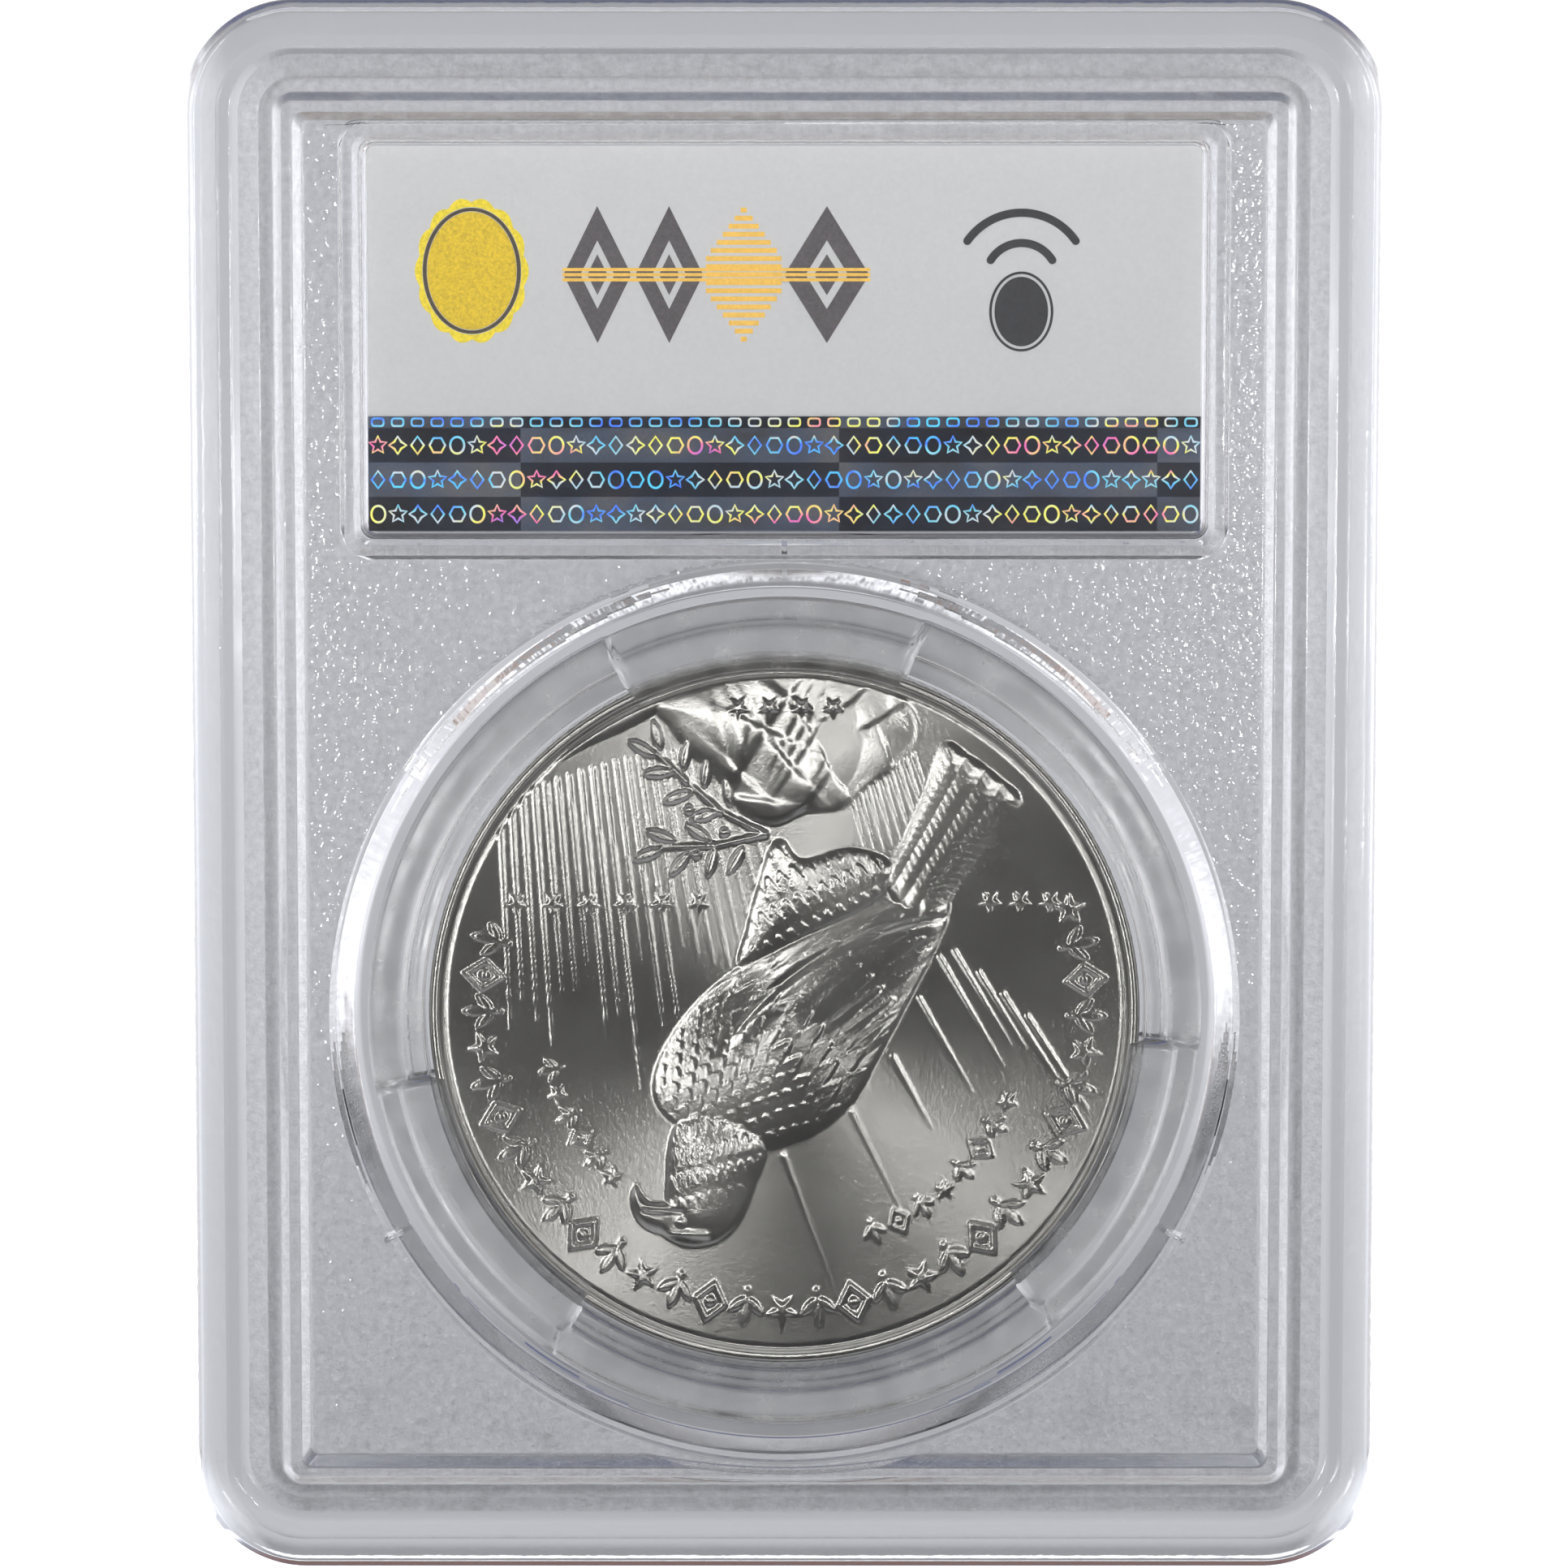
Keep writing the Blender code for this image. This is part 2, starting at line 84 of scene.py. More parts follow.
CORNER = 6.0 * MM
MIN_CORNER = 0.6 * MM
RECESS_INSET = 5.75 * MM
BULGE_INSET = 5.47 * MM
BULGE_R = 36.0 * MM
CORNER_STEPS = 20
CIRCLE_STEPS = 288
SHARP = 25  # degrees between faces from which an edge is drawn sharp
BACK, FRONT = -1, 1  # the side of the weld plane that a shell is on

# Refractive indices of the plastics
ACRYLIC, STYRENE_BLEND, MILKY, CORE = 1.49, 1.46, 1.1, 1.125
WHITE = (1.0, 1.0, 1.0)

# The shells' finishes, by their number in the list from shell_finishes
CLEAR, FROST, GRAIN, HAZE, RIPPLE, GLINT = range(6)


# ---- camera


def add_camera():
    """Looks at the slab's back from slightly above, from 350 mm."""
    tilt = math.radians(6.16)
    distance = 0.350
    data = bpy.data.cameras.new("camera")
    data.lens = 150.0
    data.sensor_width = 36.0
    data.clip_start = 0.01
    data.clip_end = 20.0
    camera = bpy.data.objects.new("camera", data)
    bpy.context.scene.collection.objects.link(camera)
    target = Vector((-0.02 * MM, 0.0, MID_Z + 0.25 * MM))
    camera.location = target + Vector(
        (0.0, -distance * math.cos(tilt), distance * math.sin(tilt))
    )
    camera.rotation_euler = (target - camera.location).to_track_quat("-Z", "Y").to_euler()
    bpy.context.scene.camera = camera


add_camera()


# ---- materials


class Tree:
    """A node tree, and short ways to add nodes to it."""

    def __init__(self, tree):
        self.nodes, self.links = tree.nodes, tree.links

    def fill(self, node, inputs):
        """Each input, by name or number, takes a value or a link from a socket."""
        for key, value in inputs.items():
            socket = node.inputs[key.replace("_", " ") if isinstance(key, str) else key]
            if isinstance(value, bpy.types.NodeSocket):
                self.links.new(value, socket)
            else:
                socket.default_value = value

    def add(self, kind, output, inputs):
        node = self.nodes.new("ShaderNode" + kind)
        self.fill(node, inputs)
        return node.outputs[output]

    def ramp(self, value, stops, interpolation="LINEAR"):
        node = self.nodes.new("ShaderNodeValToRGB")
        node.color_ramp.interpolation = interpolation
        elements = node.color_ramp.elements
        while len(elements) < len(stops):
            elements.new(0.5)
        for element, (position, colour) in zip(elements, stops):
            element.position = position
            element.color = (*colour, 1.0)
        self.links.new(value, node.inputs["Fac"])
        return node.outputs["Color"]

    def mix(self, kind, a, b, share=1.0):
        """Two colours blended; share, from 0 to 1, may come from a socket."""
        node = self.nodes.new("ShaderNodeMix")
        node.data_type = "RGBA"
        node.blend_type = kind
        self.fill(node, {0: share, 6: a, 7: b})
        return node.outputs[2]


class Look(Tree):
    """A Principled material and the textures that feed it."""

    def __init__(self, name, **values):
        self.material = bpy.data.materials.new(name)
        self.material.use_nodes = True
        super().__init__(self.material.node_tree)
        self.shader = self.nodes["Principled BSDF"]
        self.set(**values)
        self.place = self.add("TexCoord", "Object", {})

    def set(self, **values):
        self.fill(self.shader, values)

    def noise(self, size, detail=2.0, roughness=0.5, stretch=None):
        """Noise whose features are about size millimetres across."""
        place = self.place
        if stretch is not None:
            place = self.add("Mapping", "Vector", {"Vector": place, "Scale": stretch})
        inputs = {"Vector": place, "Scale": 1.0 / (size * MM), "Detail": detail}
        return self.add("TexNoise", "Fac", {**inputs, "Roughness": roughness})

    def remap(self, value, *limits):
        """The range between the first two limits, mapped onto the last two."""
        names = ("From_Min", "From_Max", "To_Min", "To_Max")
        return self.add("MapRange", "Result", {"Value": value, **dict(zip(names, limits))})

    def tone(self, value, dark, bright):
        """The base colour goes from dark to bright with a noise."""
        self.set(Base_Color=self.ramp(value, ((0.3, dark), (0.7, bright))))

    def bump(self, value, depth, **before):
        """depth is the height in millimetres between the texture's 0 and 1."""
        inputs = {"Height": value, "Strength": 1.0, "Distance": depth * MM, **before}
        normal = self.add("Bump", "Normal", inputs)
        self.set(Normal=normal)
        return normal


def shade(colour, share):
    return tuple(min(1.0, c * share) for c in colour)


def let_lamps_in(look, share):
    """Lamps shine through: their shadow rays meet a thin grey veil and not glass."""
    veil = look.add("BsdfTransparent", "BSDF", {"Color": (share, share, share, 1.0)})
    shadow = look.add("LightPath", "Is Shadow Ray", {})
    plastic = look.shader.outputs["BSDF"]
    mixed = look.add("MixShader", "Shader", {0: shadow, 1: plastic, 2: veil})
    look.links.new(mixed, look.nodes["Material Output"].inputs["Surface"])
    return look.material


def plastic_look(name, colour, smudges, roughness, waves, depth, light, ior=ACRYLIC):
    """Clear plastic with smudged polish and a wavy or grained surface.

    smudges and waves are noises, roughness is (from, to, low, high) over the smudges,
    and light is the share of a lamp's light that comes through.
    """
    look = Look(name, Transmission_Weight=1.0, IOR=ior, Base_Color=(*colour, 1.0))
    look.set(Roughness=look.remap(look.noise(*smudges), *roughness))
    look.bump(look.noise(*waves), depth)
    return let_lamps_in(look, light)


def milky_look(name, colour):
    """The wall of the coin's well, where it isn't polished."""
    look = Look(name, Transmission_Weight=1.0, IOR=MILKY)
    haze = look.noise(5, 3.0, 0.5)
    look.tone(haze, shade(colour, 0.9), colour)
    look.set(Roughness=look.remap(haze, 0.3, 0.7, 0.08, 0.2))
    look.bump(look.noise(1.6, 1.0), 0.02)
    return let_lamps_in(look, 0.85)


def frosted_look(name, colour):
    """Moulded texture: fine bright grain, cloudy in places, and darker in noisy patches low
    down.
    """
    look = Look(name, Transmission_Weight=1.0, IOR=ACRYLIC)
    grain = look.noise(0.42, 3.0, 0.75)
    tone = look.ramp(grain, ((0.32, shade(colour, 0.78)), (0.68, shade(colour, 1.12))))
    # Noisy patches that darken the colour, fading in below about 14 mm and full below 8 mm
    low_patches = look.noise(3, 4.0, 0.7, (1.0, 1.0, 2.0))
    low_patches = look.ramp(low_patches, ((0.5, WHITE), (0.7, shade(WHITE, 0.8))))
    height = look.add("SeparateXYZ", "Z", {0: look.place})
    low = look.remap(height, 8 * MM, 14 * MM, 1.0, 0.0)
    look.set(Base_Color=look.mix("MULTIPLY", tone, low_patches, low))
    look.set(Roughness=look.remap(look.noise(0.9, 3.0), 0.1, 0.9, 0.26, 0.5))
    fine = look.bump(look.noise(0.16, 2.0, 0.6), 0.035)
    look.bump(look.noise(1.3, 2.0), 0.03, Normal=fine)
    return let_lamps_in(look, 0.75)


def silver_look():
    """Mint lustre: fine flow lines along the radii, which spread light round the coin."""
    look = Look("silver_lustre", Metallic=1.0, Anisotropic=0.88, Roughness=0.2)
    look.tone(look.noise(3.5, 4.0, 0.6), (0.51, 0.50, 0.465), (0.63, 0.62, 0.58))
    tangent = look.nodes.new("ShaderNodeTangent")
    tangent.direction_type = "RADIAL"
    tangent.axis = "Y"
    look.set(Tangent=tangent.outputs["Tangent"])
    look.bump(look.noise(0.2, 3.0, 0.75), 0.009)
    return look.material


def opaque_look(name, noise, dark, bright, depth=0.0, **values):
    """A finish whose colour follows a noise, and whose surface does if depth is set."""
    look = Look(name, **values)
    pattern = look.noise(*noise)
    look.tone(pattern, dark, bright)
    if depth:
        look.bump(pattern, depth)
    return look.material


def paper_look(name, colour):
    dark, bright = shade(colour, 0.95), shade(colour, 1.03)
    return opaque_look(name, (0.25, 4.0, 0.7), dark, bright, 0.006, Roughness=0.75)


def ink_look(name, colour, grain=0.25):
    dark, bright = shade(colour, 1 - grain), shade(colour, 1 + grain)
    return opaque_look(name, (0.18, 3.0, 0.7), dark, bright, Roughness=0.5)


def metal_look(name, colour, roughness):
    scratches, dark = (0.3, 3.0, 0.6, (1.0, 1.0, 6.0)), shade(colour, 0.85)
    values = {"Metallic": 1.0, "Roughness": roughness}
    return opaque_look(name, scratches, dark, colour, 0.002, **values)


def foil_look(name, dark, bright):
    """Dark metal foil with fine scratches and a faint rainbow drift, a painted sheen for
    the colours that lamplight makes in it.
    """
    look = Look(name, Roughness=0.3, Metallic=0.35)
    drift = look.noise(6, 2.0, 0.5, (1.0, 1.0, 2.0))
    grain = look.noise(0.14, 3.0, 0.7)
    # Painted sheen: a bluish middle colour stands in for the rainbow the foil shows in
    # light
    painted_sheen_tint = tuple(0.5 * (a + b) * k for a, b, k in zip(dark, bright, (0.8, 1.0, 1.35)))
    colour = look.ramp(drift, ((0.35, dark), (0.5, painted_sheen_tint), (0.65, bright)))
    wear = look.ramp(grain, ((0.3, shade(WHITE, 0.5)), (0.7, WHITE)))
    look.set(Base_Color=look.mix("MULTIPLY", colour, wear, 0.6))
    look.bump(grain, 0.004)
    return look.material


def painted_rainbow_look():
    """Painted diffraction colours of the print, which change along the strip: the rainbow
    that lamplight makes, laid in as base colour.
    """
    look = Look("foil_painted_rainbow", Roughness=0.35, Metallic=0.2)
    drift = look.noise(5.5, 1.5, 0.5, (1.0, 1.0, 2.6))
    # Painted reflection: the diffraction rainbow given as plain base colours
    stops = (
        (0.28, (0.08, 0.60, 0.95)), (0.38, (0.05, 0.16, 0.90)), (0.46, (0.16, 0.60, 0.75)),
        (0.52, (0.62, 0.66, 0.70)), (0.58, (0.85, 0.85, 0.12)), (0.66, (0.85, 0.16, 0.40)),
        (0.74, (0.38, 0.18, 0.75)),
    )
    look.set(Base_Color=look.ramp(drift, stops))
    return look.material


# ---- outlines


def polar(cx, cz, radius, angle):
    return cx + radius * math.cos(angle), cz + radius * math.sin(angle)


def arc(cx, cz, radius, start, end, steps):
    turns = [start + (end - start) * i / steps for i in range(steps + 1)]
    return [polar(cx, cz, radius, angle) for angle in turns]


def circle(radius):
    """A circle about the coin's axis."""
    return arc(0.0, COIN_Z, radius, 0, 2 * math.pi, CIRCLE_STEPS)[:-1]


def rounded_rectangle(half_w, half_h, radius, cz, cx=0.0, steps=CORNER_STEPS):
    outline = []
    for sx, sz, start in ((-1, -1, 180), (1, -1, 270), (1, 1, 0), (-1, 1, 90)):
        x, z = cx + sx * (half_w - radius), cz + sz * (half_h - radius)
        outline += arc(x, z, radius, math.radians(start), math.radians(start + 90), steps)
    return outline


def holder_outline(inset):
    radius = max(CORNER - inset, MIN_CORNER)
    return rounded_rectangle(HALF_WIDTH - inset, HALF_HEIGHT - inset, radius, MID_Z)


def recess_outline(inset):
    """The recess, whose bottom edge swells down round the coin window."""
    outline = holder_outline(inset)
    bottom = BULGE_INSET + (inset - RECESS_INSET) * 0.33
    cz = bottom + BULGE_R
    half_angle = math.acos((cz - inset) / BULGE_R)
    down = math.radians(270)
    bulge = arc(0, cz, BULGE_R, down - half_angle, down + half_angle, 40)
    first = CORNER_STEPS + 1
    return outline[:first] + bulge + outline[first:]


def label_outline(outset, corner):
    half_w, half_h = LABEL_HALF_W + outset, LABEL_HALF_H + outset
    return rounded_rectangle(half_w, half_h, corner, LABEL_Z)


def fillet(rows, steps):
    """A polyline of (a, b, radius) in millimetres, in metres with its corners rounded."""
    rows = [tuple(value * MM for value in row) for row in rows]
    rounded = []
    for i, (a, b, radius) in enumerate(rows):
        if radius == 0 or i in (0, len(rows) - 1):
            rounded.append((a, b))
            continue
        here = Vector((a, b))
        back = (Vector(rows[i - 1][:2]) - here).normalized()
        ahead = (Vector(rows[i + 1][:2]) - here).normalized()
        half = math.acos(max(-1.0, min(1.0, back.dot(ahead)))) / 2
        reach = radius / math.tan(half)
        centre = here + (back + ahead).normalized() * (radius / math.sin(half))
        start = here + back * reach - centre
        end = here + ahead * reach - centre
        turn = math.atan2(start.x * end.y - start.y * end.x, start.dot(end))
        for k in range(steps + 1):
            c, s = math.cos(turn * k / steps), math.sin(turn * k / steps)
            x, y = start.x * c - start.y * s, start.x * s + start.y * c
            rounded.append((centre.x + x, centre.y + y))
    return rounded


# ---- mesh tools


class Solid:
    """A mesh put together from loops of points, with a material per patch."""

    def __init__(self):
        self.bm = bmesh.new()

    def points(self, points):
        return [self.bm.verts.new(p) for p in points]

    def loop(self, outline, level, side=1):
        return self.points([(x, side * level, z) for x, z in outline])

    def bridge(self, loops, material=0):
        """Joins each loop to the next; material may be a list with one for each face."""
        for a, b in zip(loops, loops[1:]):
            for i in range(len(a)):
                j = (i + 1) % len(a)
                face = self.bm.faces.new((a[i], a[j], b[j], b[i]))
                face.material_index = material if isinstance(material, int) else material[i]

    def fill(self, loops, material=0):
        edges = []
        for loop in loops:
            for a, b in zip(loop, loop[1:] + loop[:1]):
                edges.append(self.bm.edges.get((a, b)) or self.bm.edges.new((a, b)))
        made = bmesh.ops.triangle_fill(self.bm, edges=edges, use_beauty=True)
        for item in made["geom"]:
            if isinstance(item, bmesh.types.BMFace):
                item.material_index = material

    def slab(self, outlines, near, far):
        """A plate between two levels; the outlines after the first are holes in it."""
        tops = [self.loop(outline, near) for outline in outlines]
        bases = [self.loop(outline, far) for outline in outlines]
        for top, base in zip(tops, bases):
            self.bridge([top, base])
        self.fill(tops)
        self.fill(bases)

    def dish(self, outline_at, profile, side, material):
        """A raised or sunk area with a clear floor; returns its outer loop."""
        loops = [self.loop(outline_at(reach), level, side) for reach, level in profile]
        self.bridge(loops, material)
        self.fill([loops[-1]], CLEAR)
        return loops[0]

    def object(self, name, materials, sharp=SHARP):
        bmesh.ops.recalc_face_normals(self.bm, faces=self.bm.faces)
        mesh = bpy.data.meshes.new(name)
        self.bm.to_mesh(mesh)
        self.bm.free()
        for material in materials:
            mesh.materials.append(material)
        mesh.shade_smooth()
        mesh.set_sharp_from_angle(angle=math.radians(sharp))
        obj = bpy.data.objects.new(name, mesh)
        bpy.context.scene.collection.objects.link(obj)
        return obj


def cut(obj, cutter):
    """Cuts one object with another by an exact boolean and drops the cutter."""
    modifier = obj.modifiers.new("cut", "BOOLEAN")
    modifier.operation = "DIFFERENCE"
    modifier.solver = "EXACT"
    modifier.object = cutter
    depsgraph = bpy.context.evaluated_depsgraph_get()
    mesh = bpy.data.meshes.new_from_object(obj.evaluated_get(depsgraph))
    mesh.set_sharp_from_angle(angle=math.radians(SHARP))
    obj.modifiers.clear()
    old = obj.data
    mesh.name = old.name + "_cut"
    obj.data = mesh
    bpy.data.meshes.remove(old)
    bpy.data.objects.remove(cutter)


# ---- the two shells

# Polished stretches of the well's wall: middle and reach in degrees round it, where
# across it, and how wide the glinting core is. They are lenses LENS wide each way.
POLISHED = (
    (128, 24, 0.45, 0.3), (52, 22, 0.45, 0.3), (193, 12, 0.4, 0.0), (347, 11, 0.4, 0.0),
    (236, 17, 0.5, 0.24), (304, 17, 0.5, 0.24),
)
LENS = 0.4


def window(solid, side):
    """The raised clear disc over the coin; returns its loop in the panel."""
    top = PANEL + WINDOW_RAISE
    rows = [
        (WINDOW_R + 0.04, PANEL, 0), (WINDOW_R, PANEL, 0.03),
        (WINDOW_R - 0.30, top, 0.12), (WINDOW_R - 1.0, top, 0),
    ]
    return solid.dish(circle, fillet(rows, 5), side, CLEAR)


def label_lip(solid, side):
    """The raised frame round the label window; returns its loop in the panel."""
    top = PANEL + 0.30
    rows = [
        (1.43, PANEL, 0), (1.38, PANEL, 0.04), (1.12, top, 0.12), (0.62, top, 0.12),
        (0.35, PANEL, 0.08), (0.10, PANEL, 0),
    ]
    outline_at = lambda outset: label_outline(outset, 0.55 * MM + outset * 0.5)
    return solid.dish(outline_at, fillet(rows, 5), side, RIPPLE)


def pocket(solid, side):
    """The label's pocket; returns its loop in the weld plane."""
    rows = [
        (0.55, WELD, 0), (0.45, WELD, 0.05), (0.25, POCKET_FLOOR, 0.12),
        (-0.2, POCKET_FLOOR, 0),
    ]
    outline_at = lambda outset: label_outline(outset, 0.8 * MM)
    return solid.dish(outline_at, fillet(rows, 4), side, CLEAR)


def coin_well(solid, side):
    """The coin's cone-shaped well; returns its loop in the weld plane."""
    rows = [
        (WELL_MOUTH_R + 0.25, WELD, 0), (WELL_MOUTH_R, WELD, 0.06),
        (WELL_FLOOR_R, WELL_FLOOR, 0.2), (WELL_FLOOR_R - 0.6, WELL_FLOOR, 0),
    ]
    profile = fillet(rows, 5)
    mouth, strips = 6, 12
    high, low = profile[mouth:mouth + 2]
    between = [
        tuple(a + (b - a) * i / strips for a, b in zip(high, low)) for i in range(1, strips)
    ]
    profile[mouth + 1:mouth + 1] = between
    loops = [solid.loop(circle(radius), level, side) for radius, level in profile]
    turns = [360.0 * i / CIRCLE_STEPS for i in range(CIRCLE_STEPS)]
    for k, (a, b) in enumerate(zip(loops, loops[1:])):
        across = (k - mouth + 0.5) / strips
        solid.bridge([a, b], [wall_finish(degrees, across) for degrees in turns])
    solid.fill([loops[-1]], CLEAR)
    return loops[0]


def wall_finish(degrees, across):
    """Milky, but polished in a few long lens-shaped stretches, which glint."""
    for middle, reach, centre, core in POLISHED:
        along = turned(degrees, middle) / reach
        if abs(along) < 1:
            width = abs(across - centre) / (1 - along * along)
            if width < core:
                return GLINT
            if width < LENS:
                return CLEAR
    return HAZE


def turned(degrees, middle):
    """How far one direction is turned from another, from -180 to 180 degrees."""
    return (degrees - middle + 180) % 360 - 180


def shell_rim(side, rows):
    """A shell's rim, and the loops in it from the weld to the panel."""
    solid = Solid()
    loops = [solid.loop(holder_outline(i), level, side) for i, level in fillet(rows, 10)]
    solid.bridge(loops, RIPPLE)
    return solid, loops


def mating_face(solid, side, edge_loop):
    """Clear at the weld, then textured as far as the pocket and the well."""
    loops = [solid.loop(holder_outline(i * MM), WELD * MM, side) for i in (0.25, 2.5)]
    solid.bridge([edge_loop, *loops], CLEAR)
    solid.fill([loops[1], pocket(solid, side), coin_well(solid, side)], FROST)


def panel_face(solid, side, edge_loop):
    solid.fill([edge_loop, window(solid, side), label_lip(solid, side)], GRAIN)


def back_shell():
    """A double ridge runs round the back, and the panel lies in a recess inside it."""
    rows = [
        (0.08, WELD, 0), (0.0, 0.12, 0.03), (0.0, 1.95, 0.9), (0.57, 3.1, 0.7),
        (1.9, FLANGE, 0.06), (2.6, FLANGE, 0.25), (4.1, PANEL, 0.25), (4.85, PANEL, 0.2),
        (5.35, FACE, 0.14), (5.43, FACE, 0),
    ]
    solid, loops = shell_rim(BACK, rows)
    wall = [(5.75, FACE, 0), (5.9, FACE, 0.2), (6.4, PANEL, 0.2), (6.6, PANEL, 0)]
    inner = [solid.loop(recess_outline(i), level, BACK) for i, level in fillet(wall, 8)]
    solid.fill([loops[-1], inner[0]], CLEAR)
    solid.bridge(inner, RIPPLE)
    panel_face(solid, BACK, inner[-1])
    mating_face(solid, BACK, loops[0])
    return solid


def front_shell():
    rows = [
        (0.08, WELD, 0), (0.0, 0.12, 0.03), (0.0, FACE, 1.88), (3.4, FACE, 0.2),
        (4.3, PANEL, 0.25), (4.8, PANEL, 0),
    ]
    solid, loops = shell_rim(FRONT, rows)
    panel_face(solid, FRONT, loops[-1])
    mating_face(solid, FRONT, loops[0])
    return solid


def key_slots(side):
    """Cutter for the three narrow slots across the wall of the well."""
    solid = Solid()
    for degrees in (90, 210, 330):
        ax, az = math.cos(math.radians(degrees)), math.sin(math.radians(degrees))
        corners = [
            (r * MM * ax - w * MM * az, COIN_Z + r * MM * az + w * MM * ax)
            for r, w in ((22.6, -0.14), (24.8, -0.14), (24.8, 0.14), (22.6, 0.14))
        ]
        low = solid.loop(corners, -0.3 * MM, side)
        high = solid.loop(corners, 0.9 * MM, side)
        solid.bridge([low, high], CLEAR)
        solid.bm.faces.new(low)
        solid.bm.faces.new(high)
    return solid


def shell_finishes():
    """The list that the numbers from CLEAR to GLINT count in."""
    clear = (0.95, 0.955, 0.965)
    return [
        plastic_look("clear_plastic_polished", clear, (7, 3.0, 0.6),
                     (0.4, 0.75, 0.015, 0.05), (2.4, 1.0), 0.004, 0.92),
        frosted_look("clear_plastic_textured", (0.69, 0.695, 0.705)),
        plastic_look("clear_plastic_grained", (0.91, 0.915, 0.925), (3, 2.0),
                     (0.2, 0.8, 0.05, 0.12), (0.34, 1.0, 0.6), 0.04, 0.9),
        milky_look("clear_plastic_milky", (0.9, 0.9, 0.905)),
        plastic_look("clear_plastic_rippled", clear, (4, 3.0),
                     (0.3, 0.8, 0.02, 0.08), (0.8, 2.0, 0.6), 0.012, 0.92),
        plastic_look("clear_plastic_glinting", (0.97, 0.97, 0.975), (2, 2.0),
                     (0.3, 0.7, 0.02, 0.06), (2.5, 1.0), 0.01, 0.9, CORE),
    ]


def add_shells():
    finishes = shell_finishes()
    pairs = (
        ("holder_back", back_shell(), BACK, "back_shell"),
        ("holder_front", front_shell(), FRONT, "front_shell"),
    )
    for name, solid, side, node in pairs:
        shell = solid.object(name, finishes)
        cut(shell, key_slots(side).object(name + "_slots", finishes))
        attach(shell, "root")
        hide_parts(node)


# ---- coin ring

# Half profiles (radius, level) of the plain ring and of a prong, point for point
RING_PLAIN = (
    (19.32, 0.0), (19.32, 1.05), (19.35, 1.20), (19.42, 1.30), (19.55, 1.35),
    (19.9, 1.36), (20.22, 1.37), (20.34, 1.42), (20.40, 1.55), (20.46, 1.70),
    (20.58, 1.78), (20.8, 1.80), (22.0, 1.80), (22.18, 1.75), (22.28, 1.62),
    (22.30, 1.45), (22.30, 0.0),
)
RING_PRONG = (
    (19.32, 0.0), (19.32, 1.40), (19.22, 1.49), (18.90, 1.50), (18.62, 1.51),
    (18.53, 1.58), (18.50, 1.72), (18.54, 1.88), (18.66, 1.97), (18.9, 2.00),
    (20.6, 2.00), (20.8, 1.97), (20.9, 1.90), (21.0, 1.82), (21.2, 1.80),
    (22.2, 1.78), (22.30, 0.0),
)
PRONG_HALF = 22.5  # degrees
RING_STEPS = 720


def ring_solid():
    solid = Solid()
    sections = []
    for i in range(RING_STEPS):
        degrees = 360.0 * i / RING_STEPS
        reach = min(abs(turned(degrees, middle)) for middle in (93, 213, 333))
        share = min(max((PRONG_HALF - reach) / 0.5 + 0.5, 0.0), 1.0)
        share = share * share * (3 - 2 * share)
        half = [
            tuple(a + (b - a) * share for a, b in zip(*pair))
            for pair in zip(RING_PLAIN, RING_PRONG)
        ]
        c, s = math.cos(math.radians(degrees)), math.sin(math.radians(degrees))
        full = half + [(r, -y) for r, y in half[-2:0:-1]]
        sections.append(
            solid.points([(r * MM * c, y * MM, COIN_Z + r * MM * s) for r, y in full])
        )
    solid.bridge(sections + sections[:1])
    return solid


def add_ring():
    ring_plastic = plastic_look(
        "ring_plastic_hazy", (0.62, 0.62, 0.61), (2, 3.0), (0.3, 0.7, 0.12, 0.3),
        (0.8, 2.0), 0.01, 0.85, STYRENE_BLEND,
    )
    ring = ring_solid().object("coin_ring_clear", [ring_plastic], 40)
    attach(ring, "root")
    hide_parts("coin_ring")


# ---- coin


def disc_grid(n):
    """A square grid of (n + 1)^2 points mapped onto the unit disc, even in area."""
    line = np.linspace(-1, 1, n + 1)
    a, b = np.meshgrid(line, line, indexing="ij")
    wide = np.abs(a) > np.abs(b)
    r = np.where(wide, a, b)
    eighth = math.pi / 4
    with np.errstate(divide="ignore", invalid="ignore"):
        phi = np.where(wide, eighth * (b / a), (math.pi / 2) - eighth * (a / b))
    phi = np.where(r == 0, 0.0, phi)
    return r * np.cos(phi), r * np.sin(phi)


def smooth_outline(points, steps=8):
    """A closed Catmull-Rom curve through the points."""
    p = np.array(points, float)
    out = []
    for i in range(len(p)):
        p0, p1, p2, p3 = p[i - 1], p[i], p[(i + 1) % len(p)], p[(i + 2) % len(p)]
        square, cube = 2 * p0 - 5 * p1 + 4 * p2 - p3, 3 * p1 - p0 - 3 * p2 + p3
        for t in np.arange(steps) / steps:
            out.append(0.5 * (2 * p1 + (p2 - p0) * t + square * t**2 + cube * t**3))
    return np.array(out)


def highest(reliefs):
    return reduce(np.maximum, reliefs)


def unit(x):
    return np.clip(x, 0, 1)


def to_segment(u, v, start, end):
    """The share of the way along a segment, and how far off to each side of it."""
    (ax, ay), (bx, by) = start, end
    dx, dy = bx - ax, by - ay
    t = unit(((u - ax) * dx + (v - ay) * dy) / (dx * dx + dy * dy))
    return t, u - ax - t * dx, v - ay - t * dy


